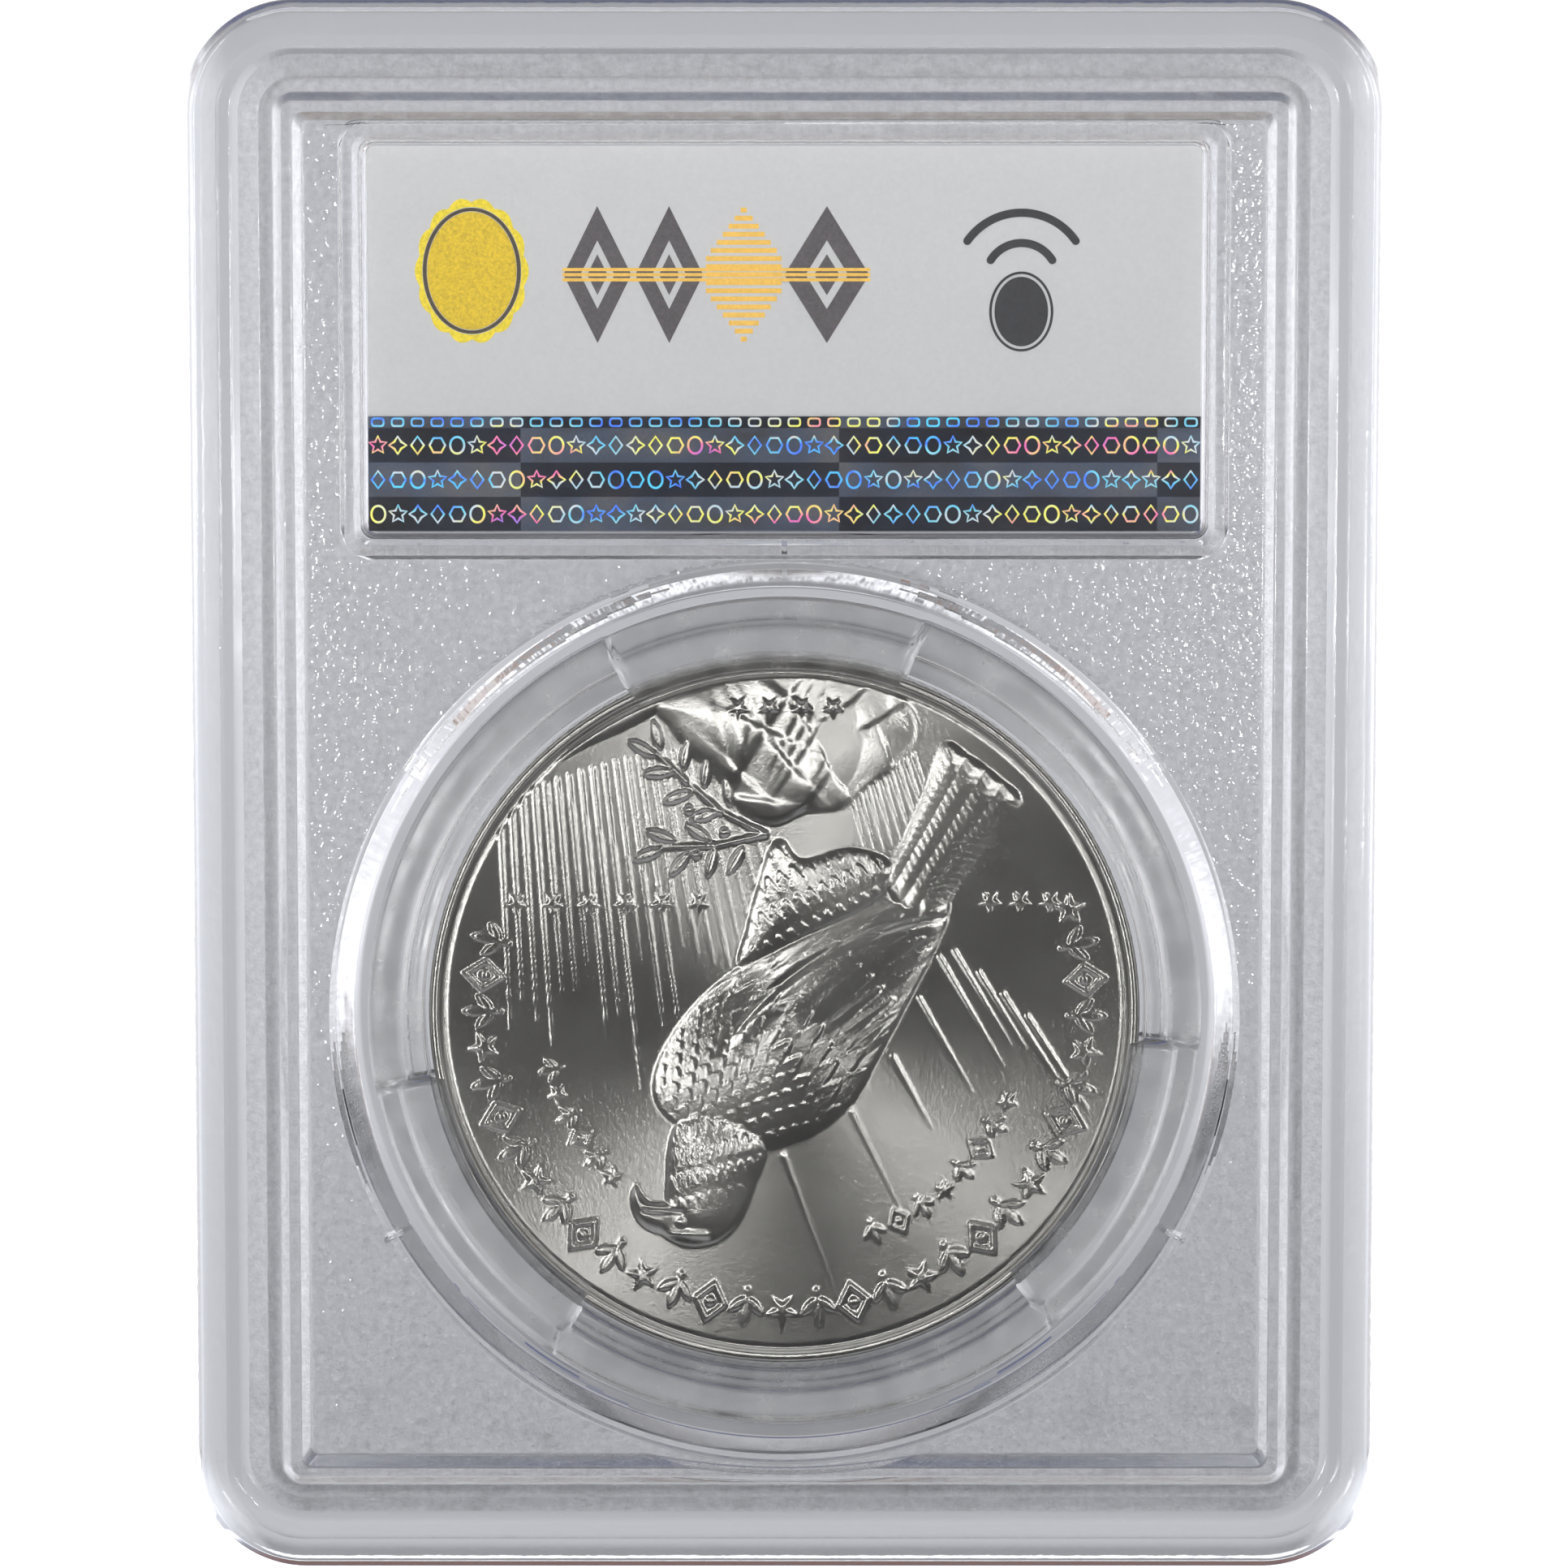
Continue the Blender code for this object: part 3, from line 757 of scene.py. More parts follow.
def depth_inside(u, v, outline):
    """Signed distance to a closed outline, above 0 inside it."""
    nearest = np.full(u.shape, 1e9)
    inside = np.zeros(u.shape, bool)
    for start, end in zip(outline, np.roll(outline, -1, axis=0)):
        _, x, y = to_segment(u, v, start, end)
        nearest = np.minimum(nearest, x**2 + y**2)
        (ax, ay), (bx, by) = start, end
        if by != ay:
            crosses = (ay > v) != (by > v)
            inside ^= crosses & (u < (v - ay) / (by - ay) * (bx - ax) + ax)
    distance = np.sqrt(nearest)
    return np.where(inside, distance, -distance)


def turn_axes(u, v, cx, cy, degrees):
    """Distances from a centre, along and across a direction."""
    c, s = math.cos(math.radians(degrees)), math.sin(math.radians(degrees))
    x, y = u - cx, v - cy
    return x * c + y * s, y * c - x * s


def saw(x):
    """From -0.5 to 0.5 over each unit."""
    return x - np.floor(x) - 0.5


def groove(d, width):
    return np.exp(-((d / width) ** 2))


def bead(u, v, cx, cy, radius):
    return np.sqrt(unit(1 - (np.hypot(u - cx, v - cy) / radius) ** 2))


def dome(d, width, height):
    """A cushion with a low steep edge, which then rises in a parabola."""
    t = unit(d / width)
    return height * (0.14 * unit(d / 0.22) + 0.86 * (1 - (1 - t) ** 2))


def merge(a, b, k=0.012):
    """The higher of two reliefs, with a soft valley between them."""
    mix = unit(0.5 + 0.5 * (a - b) / k)
    return b + (a - b) * mix + k * mix * (1 - mix)


def ridge(u, v, start, end, width, height, tip=0.3):
    """A straight raised line that tapers towards its end."""
    t, x, y = to_segment(u, v, start, end)
    w = width * (1 - (1 - tip) * t)
    return height * (1 - 0.5 * t) * groove(np.hypot(x, y), w)


def leaf(u, v, cx, cy, length, width, degrees, height):
    """A raised leaf with pointed ends and a fold along its middle."""
    a, b = turn_axes(u, v, cx, cy, degrees)
    a, b = a / length, b / width
    edge = unit(1 - a * a) ** 0.8
    body = unit(1 - (b / np.maximum(edge, 1e-3)) ** 2) * (np.abs(a) < 1)
    return height * np.sqrt(body) * (1 - 0.35 * groove(b, 0.15))


def scales(s, t, long, wide, bulge=0.7):
    """Rows of overlapping rounded feathers, from 0 to 1, each row over the next along s."""

    def across(row):
        return saw(t / wide + 0.5 * (row % 2))

    def tip(row):
        return (row + 1 + bulge * (1 - 4 * across(row) ** 2)) * long

    row = np.floor(s / long)
    row = np.where(s < tip(row - 1), row - 1, row)
    start, end = tip(row - 1), tip(row)
    along = unit((s - start) / (end - start))
    return 0.15 + 0.85 * along**1.3 - 0.2 * groove(across(row), 0.08) * along


def star(u, v, cx, cy, size, height):
    """A small five-pointed star with ridged arms."""
    angle = np.arctan2(v - cy, u - cx) - math.pi / 2
    half = math.pi / 5
    folded = np.abs((angle + half) % (2 * half) - half)
    notch = 0.42
    across, inward = notch * math.sin(half), 1 - notch * math.cos(half)
    edge = across / (across * np.cos(folded) + inward * np.sin(folded))
    return height * unit((1 - np.hypot(u - cx, v - cy) / (size * edge)) / 0.55)


def lozenge(u, v, height):
    """An outlined lozenge with a bead in it, about one unit each way."""
    line = np.abs(np.abs(u) + 0.8 * np.abs(v) - 0.72) - 0.15
    middle = np.hypot(u, v) - 0.24
    return height * unit(0.5 - np.minimum(line, middle) / 0.2)


def sprig(u, v, height):
    """Three leaves on a short stem."""
    parts = [leaf(u, v, 0.0, 0.3, 0.66, 0.27, 90, height)]
    for side in (-1, 1):
        parts.append(leaf(u, v, 0.42 * side, -0.15, 0.6, 0.24, 90 - 48 * side, height))
    return highest([*parts, ridge(u, v, (0.0, -0.9), (0.0, 0.0), 0.14, height)])


def border_marks(u, v, radius, first, last, pitch, size, height):
    """Stars, lozenges and sprigs set in an arc, in place of lettering."""
    marks = []
    count = int(abs(last - first) / pitch)
    for k in range(count + 1):
        degrees = first + (last - first) * k / count
        out, side = turn_axes(u, v, 0.0, 0.0, degrees)
        out, side = (out - radius) / size, side / size
        if k % 4 == 0:
            marks.append(star(side, out, 0.0, 0.0, 1.0, height))
        elif k % 4 == 2:
            marks.append(lozenge(side, out, height))
        else:
            marks.append(sprig(side, out, height))
    return highest(marks)


# Outlines of the bird's parts and of the rock, in millimetres with the design upright
BODY = [
    (1.0, 7.5), (-1.5, 6.7), (-3.7, 4.9), (-5.2, 2.3), (-6.7, -0.5), (-8.1, -3.2),
    (-8.9, -5.4), (-8.5, -6.4), (-6.4, -6.1), (-3.3, -5.0), (0.0, -3.7), (2.8, -2.3),
    (5.2, -0.1), (6.8, 2.5), (7.1, 4.5), (6.2, 5.9), (4.6, 6.6), (2.6, 6.9),
]
NECK = [
    (0.9, 7.2), (1.5, 9.3), (2.3, 11.3), (3.5, 12.5), (5.1, 12.8), (6.4, 12.3),
    (6.9, 11.3), (6.5, 10.3), (6.4, 9.0), (6.3, 7.4), (5.8, 5.9), (4.3, 5.3),
    (2.3, 5.9),
]
BEAK = [
    (5.9, 12.0), (7.2, 11.9), (8.0, 11.2), (8.3, 10.1), (8.0, 9.3), (7.6, 9.9),
    (7.1, 10.3), (5.9, 10.4),
]
THIGH = [
    (2.4, -2.4), (2.1, -4.6), (1.5, -6.9), (0.8, -9.0), (0.0, -9.3), (-1.0, -8.3),
    (-3.4, -8.9), (-5.4, -8.4), (-6.0, -7.2), (-4.4, -5.6), (-1.5, -4.2),
]
TAIL = [
    (-8.0, -4.6), (-9.4, -6.8), (-11.2, -9.4), (-12.7, -11.4), (-11.4, -12.8),
    (-9.9, -13.9), (-8.5, -14.6), (-7.5, -12.2), (-6.3, -9.4), (-5.3, -7.2),
    (-6.3, -5.4),
]
ROCK = [
    (-7.4, -15.2), (-6.4, -13.4), (-4.6, -12.2), (-3.2, -10.9), (-1.2, -10.7),
    (0.6, -10.0), (2.4, -10.8), (3.5, -12.4), (5.0, -13.8), (6.2, -15.4),
    (6.8, -16.9), (0.0, -18.6), (-6.0, -17.2),
]
SHELF = [
    (5.8, -16.9), (8.0, -15.4), (10.4, -14.3), (12.0, -13.4), (12.9, -13.2),
    (11.6, -14.6), (8.6, -16.6),
]


def ray_lean(u):
    """How far a ray leans to the left of upright, in degrees."""
    return float(np.interp(u, (-12, -4, 4, 9, 16), (33, 27, 13, 7, 2)))


def rays(u, v):
    """Sunrays from the ground and from behind the bird, and a few short ones low down."""
    random = np.random.RandomState(7)
    starts = [(x, -14.0 - 0.12 * x + 0.02 * x * x) for x in np.arange(2.2, 15.6, 0.62)]
    starts += [(x, -3.4 - 0.9 * (x + 9)) for x in np.arange(-13.0, -8.0, 1.3)]
    starts += [(-8.3, -3.0), (-7.2, -0.8), (-5.8, 2.4), (-3.6, 5.4), (0.0, 7.8)]
    lines = []
    for x, z in starts:
        lean = math.radians(ray_lean(x))
        if x > 2:
            reach = 8.5 + 9.5 * random.rand() * (1.1 - abs(x - 9) / 12)
        else:
            reach = 4.0 + 4.5 * random.rand()
        end = (x - reach * math.sin(lean), z + reach * math.cos(lean))
        lines.append(((x, z), end, 0.11 + 0.05 * random.rand(), 0.04))
    for i in range(9):
        x, lean = -6.9 + 0.42 * i, math.radians(24 - i)
        end = (x - 3.2 * math.sin(lean), -13.6 + 0.2 * i + 3.8 * math.cos(lean))
        lines.append(((x, -13.9 + 0.25 * i), end, 0.1, 0.035))
    return highest(ridge(u, v, *line) for line in lines)


def part(u, v, outline, soft, steps=8):
    """Depth inside an outline, and a factor that fades detail out at its edge."""
    depth = depth_inside(u, v, smooth_outline(outline, steps))
    return depth, unit(depth / soft)


def body_relief(u, v):
    """The folded wing: small feathers at the shoulder, then quills; breast below it."""
    depth, inner = part(u, v, BODY, 0.7)
    s, t = turn_axes(u, v, 5.0, 6.0, 224)
    down = unit((s - 8.4) / 1.6)
    middle = unit((s - 5.2) / 1.2)
    bend = t + 0.018 * (s - 7) ** 2
    small = scales(s + 0.1 * t * t, bend, 0.85, 0.8)
    large = scales(s + 0.1 * t * t, bend, 1.9, 1.0)
    quills = np.abs(saw(bend / 0.85)) * 2
    steps = scales(s, bend, 3.4, 0.85)
    feathers = (1 - middle) * 0.03 * small + middle * (1 - down) * 0.045 * large
    feathers += down * (0.035 * quills**0.6 + 0.03 * steps)
    relief = dome(depth, 4.3, 0.21) + inner * feathers
    wing_edge = t - 2.1 + 0.035 * (s - 7.5) ** 2
    fade = unit((s - 3.5) / 2)
    relief -= 0.07 * inner * groove(wing_edge, 0.22) * fade
    relief += 0.03 * inner * groove(wing_edge + 0.5, 0.3) * fade
    return depth, relief


def head_relief(u, v):
    """Neck with long locks, smooth crown, brow, eye and a closed hooked beak."""
    depth, inner = part(u, v, NECK, 0.5)
    s = -(v - 12) + 0.25 * (u - 4)
    t = (u - 4) + 0.12 * (v - 12) + 0.1 * np.sin(1.4 * s)
    locks = scales(s, t, 1.35, 0.55) * unit((s - 1.5) / 1.5)
    neck = dome(depth, 2.5, 0.25) + 0.05 * inner * locks
    beak_depth, _ = part(u, v, BEAK, 1.0)
    relief = merge(dome(beak_depth, 0.85, 0.22), neck)
    eye = (5.55, 11.45)
    relief -= 0.08 * groove(np.hypot(u - eye[0], v - eye[1]), 0.55)
    relief += 0.07 * bead(u, v, *eye, 0.3)
    relief += ridge(u, v, (4.2, 12.1), (6.4, 11.95), 0.2, 0.07, 0.8)
    mouth = ridge(u, v, (7.55, 10.75), (5.5, 10.85), 0.11, 0.12, 1.0)
    relief -= mouth * (relief > 0.05)
    return np.maximum(depth, beak_depth), relief


def tail_relief(u, v):
    depth, inner = part(u, v, TAIL, 0.4)
    s, t = turn_axes(u, v, -6.5, -5.5, 237)
    off = np.abs(saw(t / (1 + 0.06 * s) / 0.8))
    barbs = 0.5 + 0.5 * np.sin(14 * s + 9 * off)
    quills = 0.045 * (off * 2) ** 0.6
    return depth, dome(depth, 1.6, 0.13) + inner * (quills + 0.004 * barbs)


def thigh_relief(u, v):
    depth, inner = part(u, v, THIGH, 0.5)
    s, t = -(v + 2) + 0.5 * (u + 1), (u + 1) + 0.45 * (v + 2)
    return depth, dome(depth, 2.2, 0.19) + 0.05 * inner * scales(s, t, 1.7, 0.8)


def bird(u, v):
    """A perched bird of prey in profile, with folded wings: relief and depth inside."""
    kinds = (tail_relief, thigh_relief, body_relief, head_relief)
    depths, reliefs = zip(*[relief(u, v) for relief in kinds])
    return reduce(merge, reliefs), highest(depths)


def branch(u, v):
    """A leafy twig with berries."""
    stems = (
        ((1.0, -9.6), (3.6, -9.0)), ((3.6, -9.0), (6.6, -8.9)),
        ((1.0, -9.6), (3.4, -10.8)), ((3.4, -10.8), (5.2, -12.4)),
        ((5.2, -12.4), (6.9, -14.0)),
    )
    leaves = (
        (2.6, -8.2, 60), (3.9, -8.1, 75), (4.6, -9.7, -35), (5.6, -8.0, 50),
        (6.6, -9.5, -20), (7.3, -8.5, 20), (3.0, -11.9, -80), (4.3, -10.6, 15),
        (4.2, -12.9, -95), (5.7, -11.6, 20), (5.3, -13.8, -100), (6.7, -12.9, 5),
        (6.8, -14.9, -75), (7.6, -14.2, -30),
    )
    berries = ((3.2, -9.7), (5.1, -10.9), (4.7, -8.5))
    parts = [ridge(u, v, start, end, 0.16, 0.12, 0.8) for start, end in stems]
    parts += [leaf(u, v, x, y, 0.85, 0.30, degrees, 0.15) for x, y, degrees in leaves]
    parts += [0.13 * bead(u, v, x, y, 0.27) for x, y in berries]
    return highest(parts)


def rock(u, v):
    """A rocky mound with cracks and ledges, and a low shelf beside it."""
    depth, inner = part(u, v, ROCK, 0.5, 4)
    facets = np.zeros(u.shape)
    random = np.random.RandomState(3)
    for _ in range(26):
        angle = random.uniform(-1.2, 1.5)
        cx, cy = random.uniform(-6, 6), random.uniform(-17, -11)
        side = (u - cx) * math.cos(angle) + (v - cy) * math.sin(angle)
        near = np.exp(-(((u - cx) ** 2 + (v - cy) ** 2) / 7.0))
        facets += 0.03 * near * np.tanh(side / 0.14)
    relief = dome(depth, 2.4, 0.15) + inner * np.clip(facets, -0.07, 0.1)
    shelf_depth, _ = part(u, v, SHELF, 1.0, 4)
    return np.maximum(relief, dome(shelf_depth, 0.7, 0.09))


def field_bowl(u, v):
    """The field rises a little towards the rim."""
    return 0.035 * (np.hypot(u, v) / 18.0) ** 4


def reverse_relief(u, v):
    """Height over the field in millimetres. u, v: millimetres, the design upright."""
    figure, depth = bird(u, v)
    arcs = (
        (16.2, 200, -14, 6.9, 1.06, 0.075), (12.9, 158, 112, 5.9, 0.72, 0.055),
        (12.9, 44, 14, 5.9, 0.72, 0.055),
    )
    parts = [merge(rays(u, v), rock(u, v))]
    parts += [border_marks(u, v, *row) for row in arcs]
    parts += [star(u, v, x, -6.0, 0.76, 0.06) for x in (-14.2, -12.6, -11.0)]
    parts += [star(u, v, 4.6 + 1.95 * k, -5.9, 0.78, 0.06) for k in range(6)]
    ground = highest(parts)
    for k in range(4):
        ground = ground + star(u, v, -2.6 + 1.7 * k, -16.4, 0.72, 0.09)
    relief = np.where(depth > -0.05, figure, ground)
    return np.maximum(relief, branch(u, v)) + field_bowl(u, v)


def obverse_relief(u, v):
    """A large star on a sunburst inside a wreath of leaves."""
    r, angle = np.hypot(u, v), np.arctan2(v, u)
    burst = 0.03 * (0.5 + 0.5 * np.cos(angle * 36)) * unit((r - 4) / 2)
    burst *= unit((12.2 - r) / 0.6)
    relief = np.maximum(burst, star(u, v, 0, 0, 8.6, 0.24))
    for k in range(30):
        at = math.radians(-80 + 340 * (k + 0.5) / 30)
        for out, lean in ((13.3, 62), (14.7, 30)):
            turn = math.degrees(at) + (lean if math.cos(at) > 0 else -lean)
            x, y = out * math.cos(at), out * math.sin(at)
            relief = np.maximum(relief, leaf(u, v, x, y, 1.35, 0.42, turn, 0.13))
    relief = np.maximum(relief, border_marks(u, v, 16.9, 0, 356, 4.0, 0.45, 0.06))
    return relief + field_bowl(u, v)


FIELD_R = 18.28
FIELD_DROP = 0.31  # from the top of the rim to the field
GRID = 400
REEDS = 160
REED_DEPTH = 0.06
REEDED_R = 19.04


def coin_solid():
    """Both struck faces, the raised rims and the reeded edge, as one closed body."""
    gu, gv = disc_grid(GRID)
    u, v = gu * FIELD_R, gv * FIELD_R
    rim_level = COIN_HALF / MM
    field = rim_level - FIELD_DROP
    fade = unit((FIELD_R - np.hypot(u, v)) / 0.25)
    count = (GRID + 1) ** 2
    index = np.arange(count).reshape(GRID + 1, GRID + 1)
    border = np.concatenate(
        [index[:, 0], index[GRID, 1:], index[-2::-1, GRID], index[0, GRID - 1:0:-1]]
    )
    back = -field - reverse_relief(-u, -v) * fade
    front = field + obverse_relief(-u, v) * fade
    points = [np.stack([u, y, v], -1).reshape(-1, 3) for y in (back, front)]
    a, b, c, d = index[:-1, :-1], index[1:, :-1], index[1:, 1:], index[:-1, 1:]
    faces = [np.stack([a, b, c, d], -1), np.stack([a, d, c, b], -1) + count]
    faces = [quads.reshape(-1, 4) for quads in faces]

    around = np.arctan2(v.reshape(-1)[border], u.reshape(-1)[border])
    cos, sin = np.cos(around), np.sin(around)
    reeds = REED_DEPTH * (0.5 + 0.5 * np.cos(around * REEDS))
    lip = [
        (18.34, field + 0.03), (18.42, field + 0.12), (18.50, rim_level - 0.04),
        (18.60, rim_level - 0.005), (18.75, rim_level), (18.88, rim_level - 0.008),
        (18.98, rim_level - 0.06), (19.03, rim_level - 0.16), (19.05, rim_level - 0.28),
    ]
    loops = [border]
    for k, (r, y) in enumerate([(r, -y) for r, y in lip] + lip[::-1]):
        radius = r - (reeds if r > REEDED_R else 0.0)
        points.append(np.stack([radius * cos, np.full(len(around), y), radius * sin], -1))
        first = 2 * count + k * len(around)
        loops.append(np.arange(first, first + len(around)))
    loops.append(border + count)
    for a, b in zip(loops, loops[1:]):
        faces.append(np.stack([a, np.roll(a, -1), np.roll(b, -1), b], -1))

    points = np.concatenate(points) * MM
    points[:, 2] += COIN_Z
    shape = bpy.data.meshes.new("coin_shape")
    shape.from_pydata(points.tolist(), [], np.concatenate(faces).tolist())
    solid = Solid()
    solid.bm.from_mesh(shape)
    bpy.data.meshes.remove(shape)
    return solid


def add_coin():
    coin = coin_solid().object("coin_silver", [silver_look()], 50)
    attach(coin, "root")
    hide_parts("coin")


# ---- label

INK_RAISE = 0.012 * MM
INK_ROOT = 0.02 * MM
MARK_Z = LABEL_Z + 3.5 * MM
FOIL_ROW = 1.83 * MM
FOIL_CELL = 16.9 * MM
FOIL_SEAM = -14.0 * MM


def print_marks(name, material, face_y, marks, side=BACK, lift=0.0):
    """Flat marks of one ink; each is a list of its outline and of the holes in it."""
    solid = Solid()
    near, far = face_y + side * (INK_RAISE + lift), face_y - side * INK_ROOT
    for outlines in marks:
        solid.slab(outlines, near, far)
    piece = solid.object(name, [material])
    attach(piece, "root")


def bar(x0, x1, z0, z1):
    return [[(x0, z0), (x1, z0), (x1, z1), (x0, z1)]]


def oval(cx, cz, half_w, half_h, lobes=0, depth=0.0, steps=96):
    """An oval outline, with scallops where lobes is above 0."""
    outline = []
    for i in range(steps):
        angle = 2 * math.pi * i / steps
        reach = 1 + depth * abs(math.cos(angle * lobes / 2))
        x, z = half_w * reach * math.cos(angle), half_h * reach * math.sin(angle)
        outline.append((cx + x, cz + z))
    return outline


def rhomb(cx, cz, half_w, half_h):
    return [(cx - half_w, cz), (cx, cz - half_h), (cx + half_w, cz), (cx, cz + half_h)]


def arch(cx, cz, radius, half_degrees, width):
    """A band bent over the top of a circle, with round ends."""
    half = math.radians(half_degrees)
    left, right = math.pi / 2 + half, math.pi / 2 - half
    outer = arc(cx, cz, radius + width / 2, right, left, 28)
    inner = arc(cx, cz, radius - width / 2, left, right, 28)
    ends = []
    for at, start in ((left, left), (right, right + math.pi)):
        middle = polar(cx, cz, radius, at)
        ends.append(arc(*middle, width / 2, start, start + math.pi, 8)[1:-1])
    return outer + ends[0] + inner + ends[1]


def print_seal(face_y):
    """A scalloped gold seal."""

    def at(w, h, *scallops):
        cx, cz = -16.55 * MM, MARK_Z + 0.1 * MM
        return oval(cx, cz, 2.82 * MM * w, 3.62 * MM * h, *scallops)

    for name, ink, colour, outlines in (
        ("rim", "yellow", (0.76, 0.60, 0.02), [at(1, 1, 14, 0.07, 168), at(0.93, 0.93)]),
        ("line", "brown", (0.05, 0.036, 0.018), [at(0.92, 0.92), at(0.85, 0.87)]),
        ("heart", "gold", (0.63, 0.44, 0.008), [at(0.84, 0.86)]),
    ):
        material = ink_look("ink_" + ink, colour)
        print_marks("label_seal_" + name, material, face_y, [outlines])


def print_ornament(face_y):
    """A row of dark lozenges, one of gold bars, and three gold lines across them."""
    cz, half_h = MARK_Z - 0.1 * MM, 3.62 * MM
    dark = [
        [rhomb(cx * MM, cz, half_w * MM * k, half_h * k) for k in sizes]
        for cx, half_w in ((-9.9, 1.8), (-6.1, 1.8), (2.25, 2.25))
        for sizes in ((1.0, 0.5), (0.3,))
    ]
    cx, half_w, rows = -2.15 * MM, 2.0 * MM, 17
    gold = []
    for i in range(rows):
        z = cz + half_h * (2 * (i + 0.5) / rows - 1)
        reach = half_w * min(1.0, 1.35 * (1 - abs(z - cz) / half_h))
        gold.append(bar(cx - reach, cx + reach, z - 0.13 * MM, z + 0.13 * MM))
    lines = []
    for i in (-1, 0, 1):
        z = cz + i * 0.27 * MM
        lines.append(bar(-11.75 * MM, 4.55 * MM, z - 0.085 * MM, z + 0.085 * MM))
    grey = ink_look("ink_grey", (0.078, 0.068, 0.072))
    ochre = ink_look("ink_ochre", (0.80, 0.48, 0.075), 0.12)
    print_marks("label_ornament_dark", grey, face_y, dark)
    print_marks("label_ornament_gold", ochre, face_y, gold)
    print_marks("label_ornament_lines", ochre, face_y, lines, lift=0.008 * MM)


def print_waves(face_y):
    """Two arches over an oval, the sign for a wireless tag."""
    cx, cz = 12.55 * MM, MARK_Z - 2.05 * MM
    marks = [
        [arch(cx, MARK_Z - 0.33 * MM, 3.5 * MM, 55, 0.44 * MM)],
        [arch(cx, MARK_Z - 0.35 * MM, 1.92 * MM, 58, 0.44 * MM)],
        [oval(cx, cz, 1.7 * MM, 2.12 * MM), oval(cx, cz, 1.56 * MM, 1.98 * MM)],
        [oval(cx, cz, 1.42 * MM, 1.84 * MM)],
    ]
    print_marks("label_waves", ink_look("ink_black", (0.021, 0.021, 0.025)), face_y, marks)


def print_front(face_y):
    """Bars in place of lettering, a code of narrow bars and a coloured band."""
    dark = []
    for cx, widths in ((11.0, (17.0, 13.0, 15.0)), (-14.0, (9.0, 7.0))):
        for i, width in enumerate(widths):
            half_w, z = width * MM / 2, LABEL_Z + (5.4 - 3.4 * i) * MM
            dark.append([rounded_rectangle(half_w, 0.7 * MM, 0.3 * MM, z, cx * MM, 4)])
    random = np.random.RandomState(11)
    x = -19.0 * MM
    while x < 4.0 * MM:
        width = random.choice((0.2, 0.2, 0.4, 0.6)) * MM
        dark.append(bar(x, x + width, LABEL_Z - 8.2 * MM, LABEL_Z - 3.4 * MM))
        x += width + random.choice((0.2, 0.4, 0.5)) * MM
    band = bar(-21.4 * MM, 21.4 * MM, LABEL_Z + 8.0 * MM, LABEL_Z + 9.4 * MM)
    black, blue = (0.03, 0.03, 0.035), (0.03, 0.09, 0.28)
    print_marks("label_front_marks", ink_look("ink_front_dark", black), face_y, dark, FRONT)
    print_marks("label_front_band", ink_look("ink_front_blue", blue), face_y, [band], FRONT)


def foil_cells():
    """The strip's edges of rows and of columns, from low to high."""
    rows = [STRIP_LOW[2]]
    while rows[-1] + FOIL_ROW < STRIP_HIGH[2] - 0.1 * MM:
        rows.append(rows[-1] + FOIL_ROW)
    rows.append(STRIP_HIGH[2])
    seams = [FOIL_SEAM + k * FOIL_CELL for k in range(3)]
    return rows, [STRIP_LOW[0], *seams, STRIP_HIGH[0]]


def foil_sheet():
    """The strip itself, whose back is a chequer of dark and of paler cells."""
    rows, columns = foil_cells()
    solid = Solid()
    near, far = STRIP_LOW[1], STRIP_HIGH[1]
    grid = [solid.points([(x, near, z) for x in columns]) for z in rows]
    for j, (low, high) in enumerate(zip(grid, grid[1:])):
        for i in range(len(columns) - 1):
            corners = (low[i], low[i + 1], high[i + 1], high[i])
            solid.bm.faces.new(corners).material_index = (i + j) % 2
    edge = grid[0] + [row[-1] for row in grid[1:-1]] + grid[-1][::-1]
    edge += [row[0] for row in grid[-2:0:-1]]
    back = solid.points([(v.co.x, far, v.co.z) for v in edge])
    solid.bridge([edge, back])
    solid.fill([back])
    return solid


def drawn_in(outline, cx, cz, width):
    """An outline moved in by width towards a centre."""
    inner = []
    for x, z in outline:
        reach = math.hypot(x - cx, z - cz)
        share = (reach - width) / reach
        inner.append((cx + (x - cx) * share, cz + (z - cz) * share))
    return inner


def star_outline(cx, cz, radius, notch, points):
    return [
        polar(cx, cz, reach, math.pi / 2 + math.pi * k / points)
        for k, reach in enumerate([radius, radius * notch] * points)
    ]


def foil_motif(kind, cx, cz, size):
    """An oval, a lozenge, a five-pointed star, a hexagon or a four-pointed star."""
    return (
        oval(cx, cz, 0.86 * size, size, steps=24),
        rhomb(cx, cz, 0.8 * size, 1.05 * size),
        star_outline(cx, cz, 1.1 * size, 0.52, 5),
        oval(cx, cz, 0.95 * size, size, steps=6),
        star_outline(cx, cz, 1.05 * size, 0.6, 4),
    )[kind]


def foil_motifs():
    """Rows of small outlined shapes, and a row of rounded links along the top."""
    rows, _ = foil_cells()
    count, size, line = 42, 0.50 * MM, 0.12 * MM
    pitch = (STRIP_HIGH[0] - STRIP_LOW[0]) / count
    centres = [STRIP_LOW[0] + (i + 0.5) * pitch for i in range(count)]
    marks = []
    for j, (low, high) in enumerate(zip(rows, rows[1:])):
        if high - low < 0.9 * FOIL_ROW:
            continue
        cz = low + FOIL_ROW / 2
        for i, cx in enumerate(centres):
            shape = foil_motif((2 * i + j + i // 13) % 5, cx, cz, size)
            marks.append([shape, drawn_in(shape, cx, cz, line)])
    cz = (rows[-2] + rows[-1]) / 2
    for cx in centres:
        sizes = ((0.36, 0.25, 0.18), (0.26, 0.15, 0.10))
        marks.append([
            rounded_rectangle(*[value * MM for value in row], cz, cx, 4) for row in sizes
        ])
    return marks


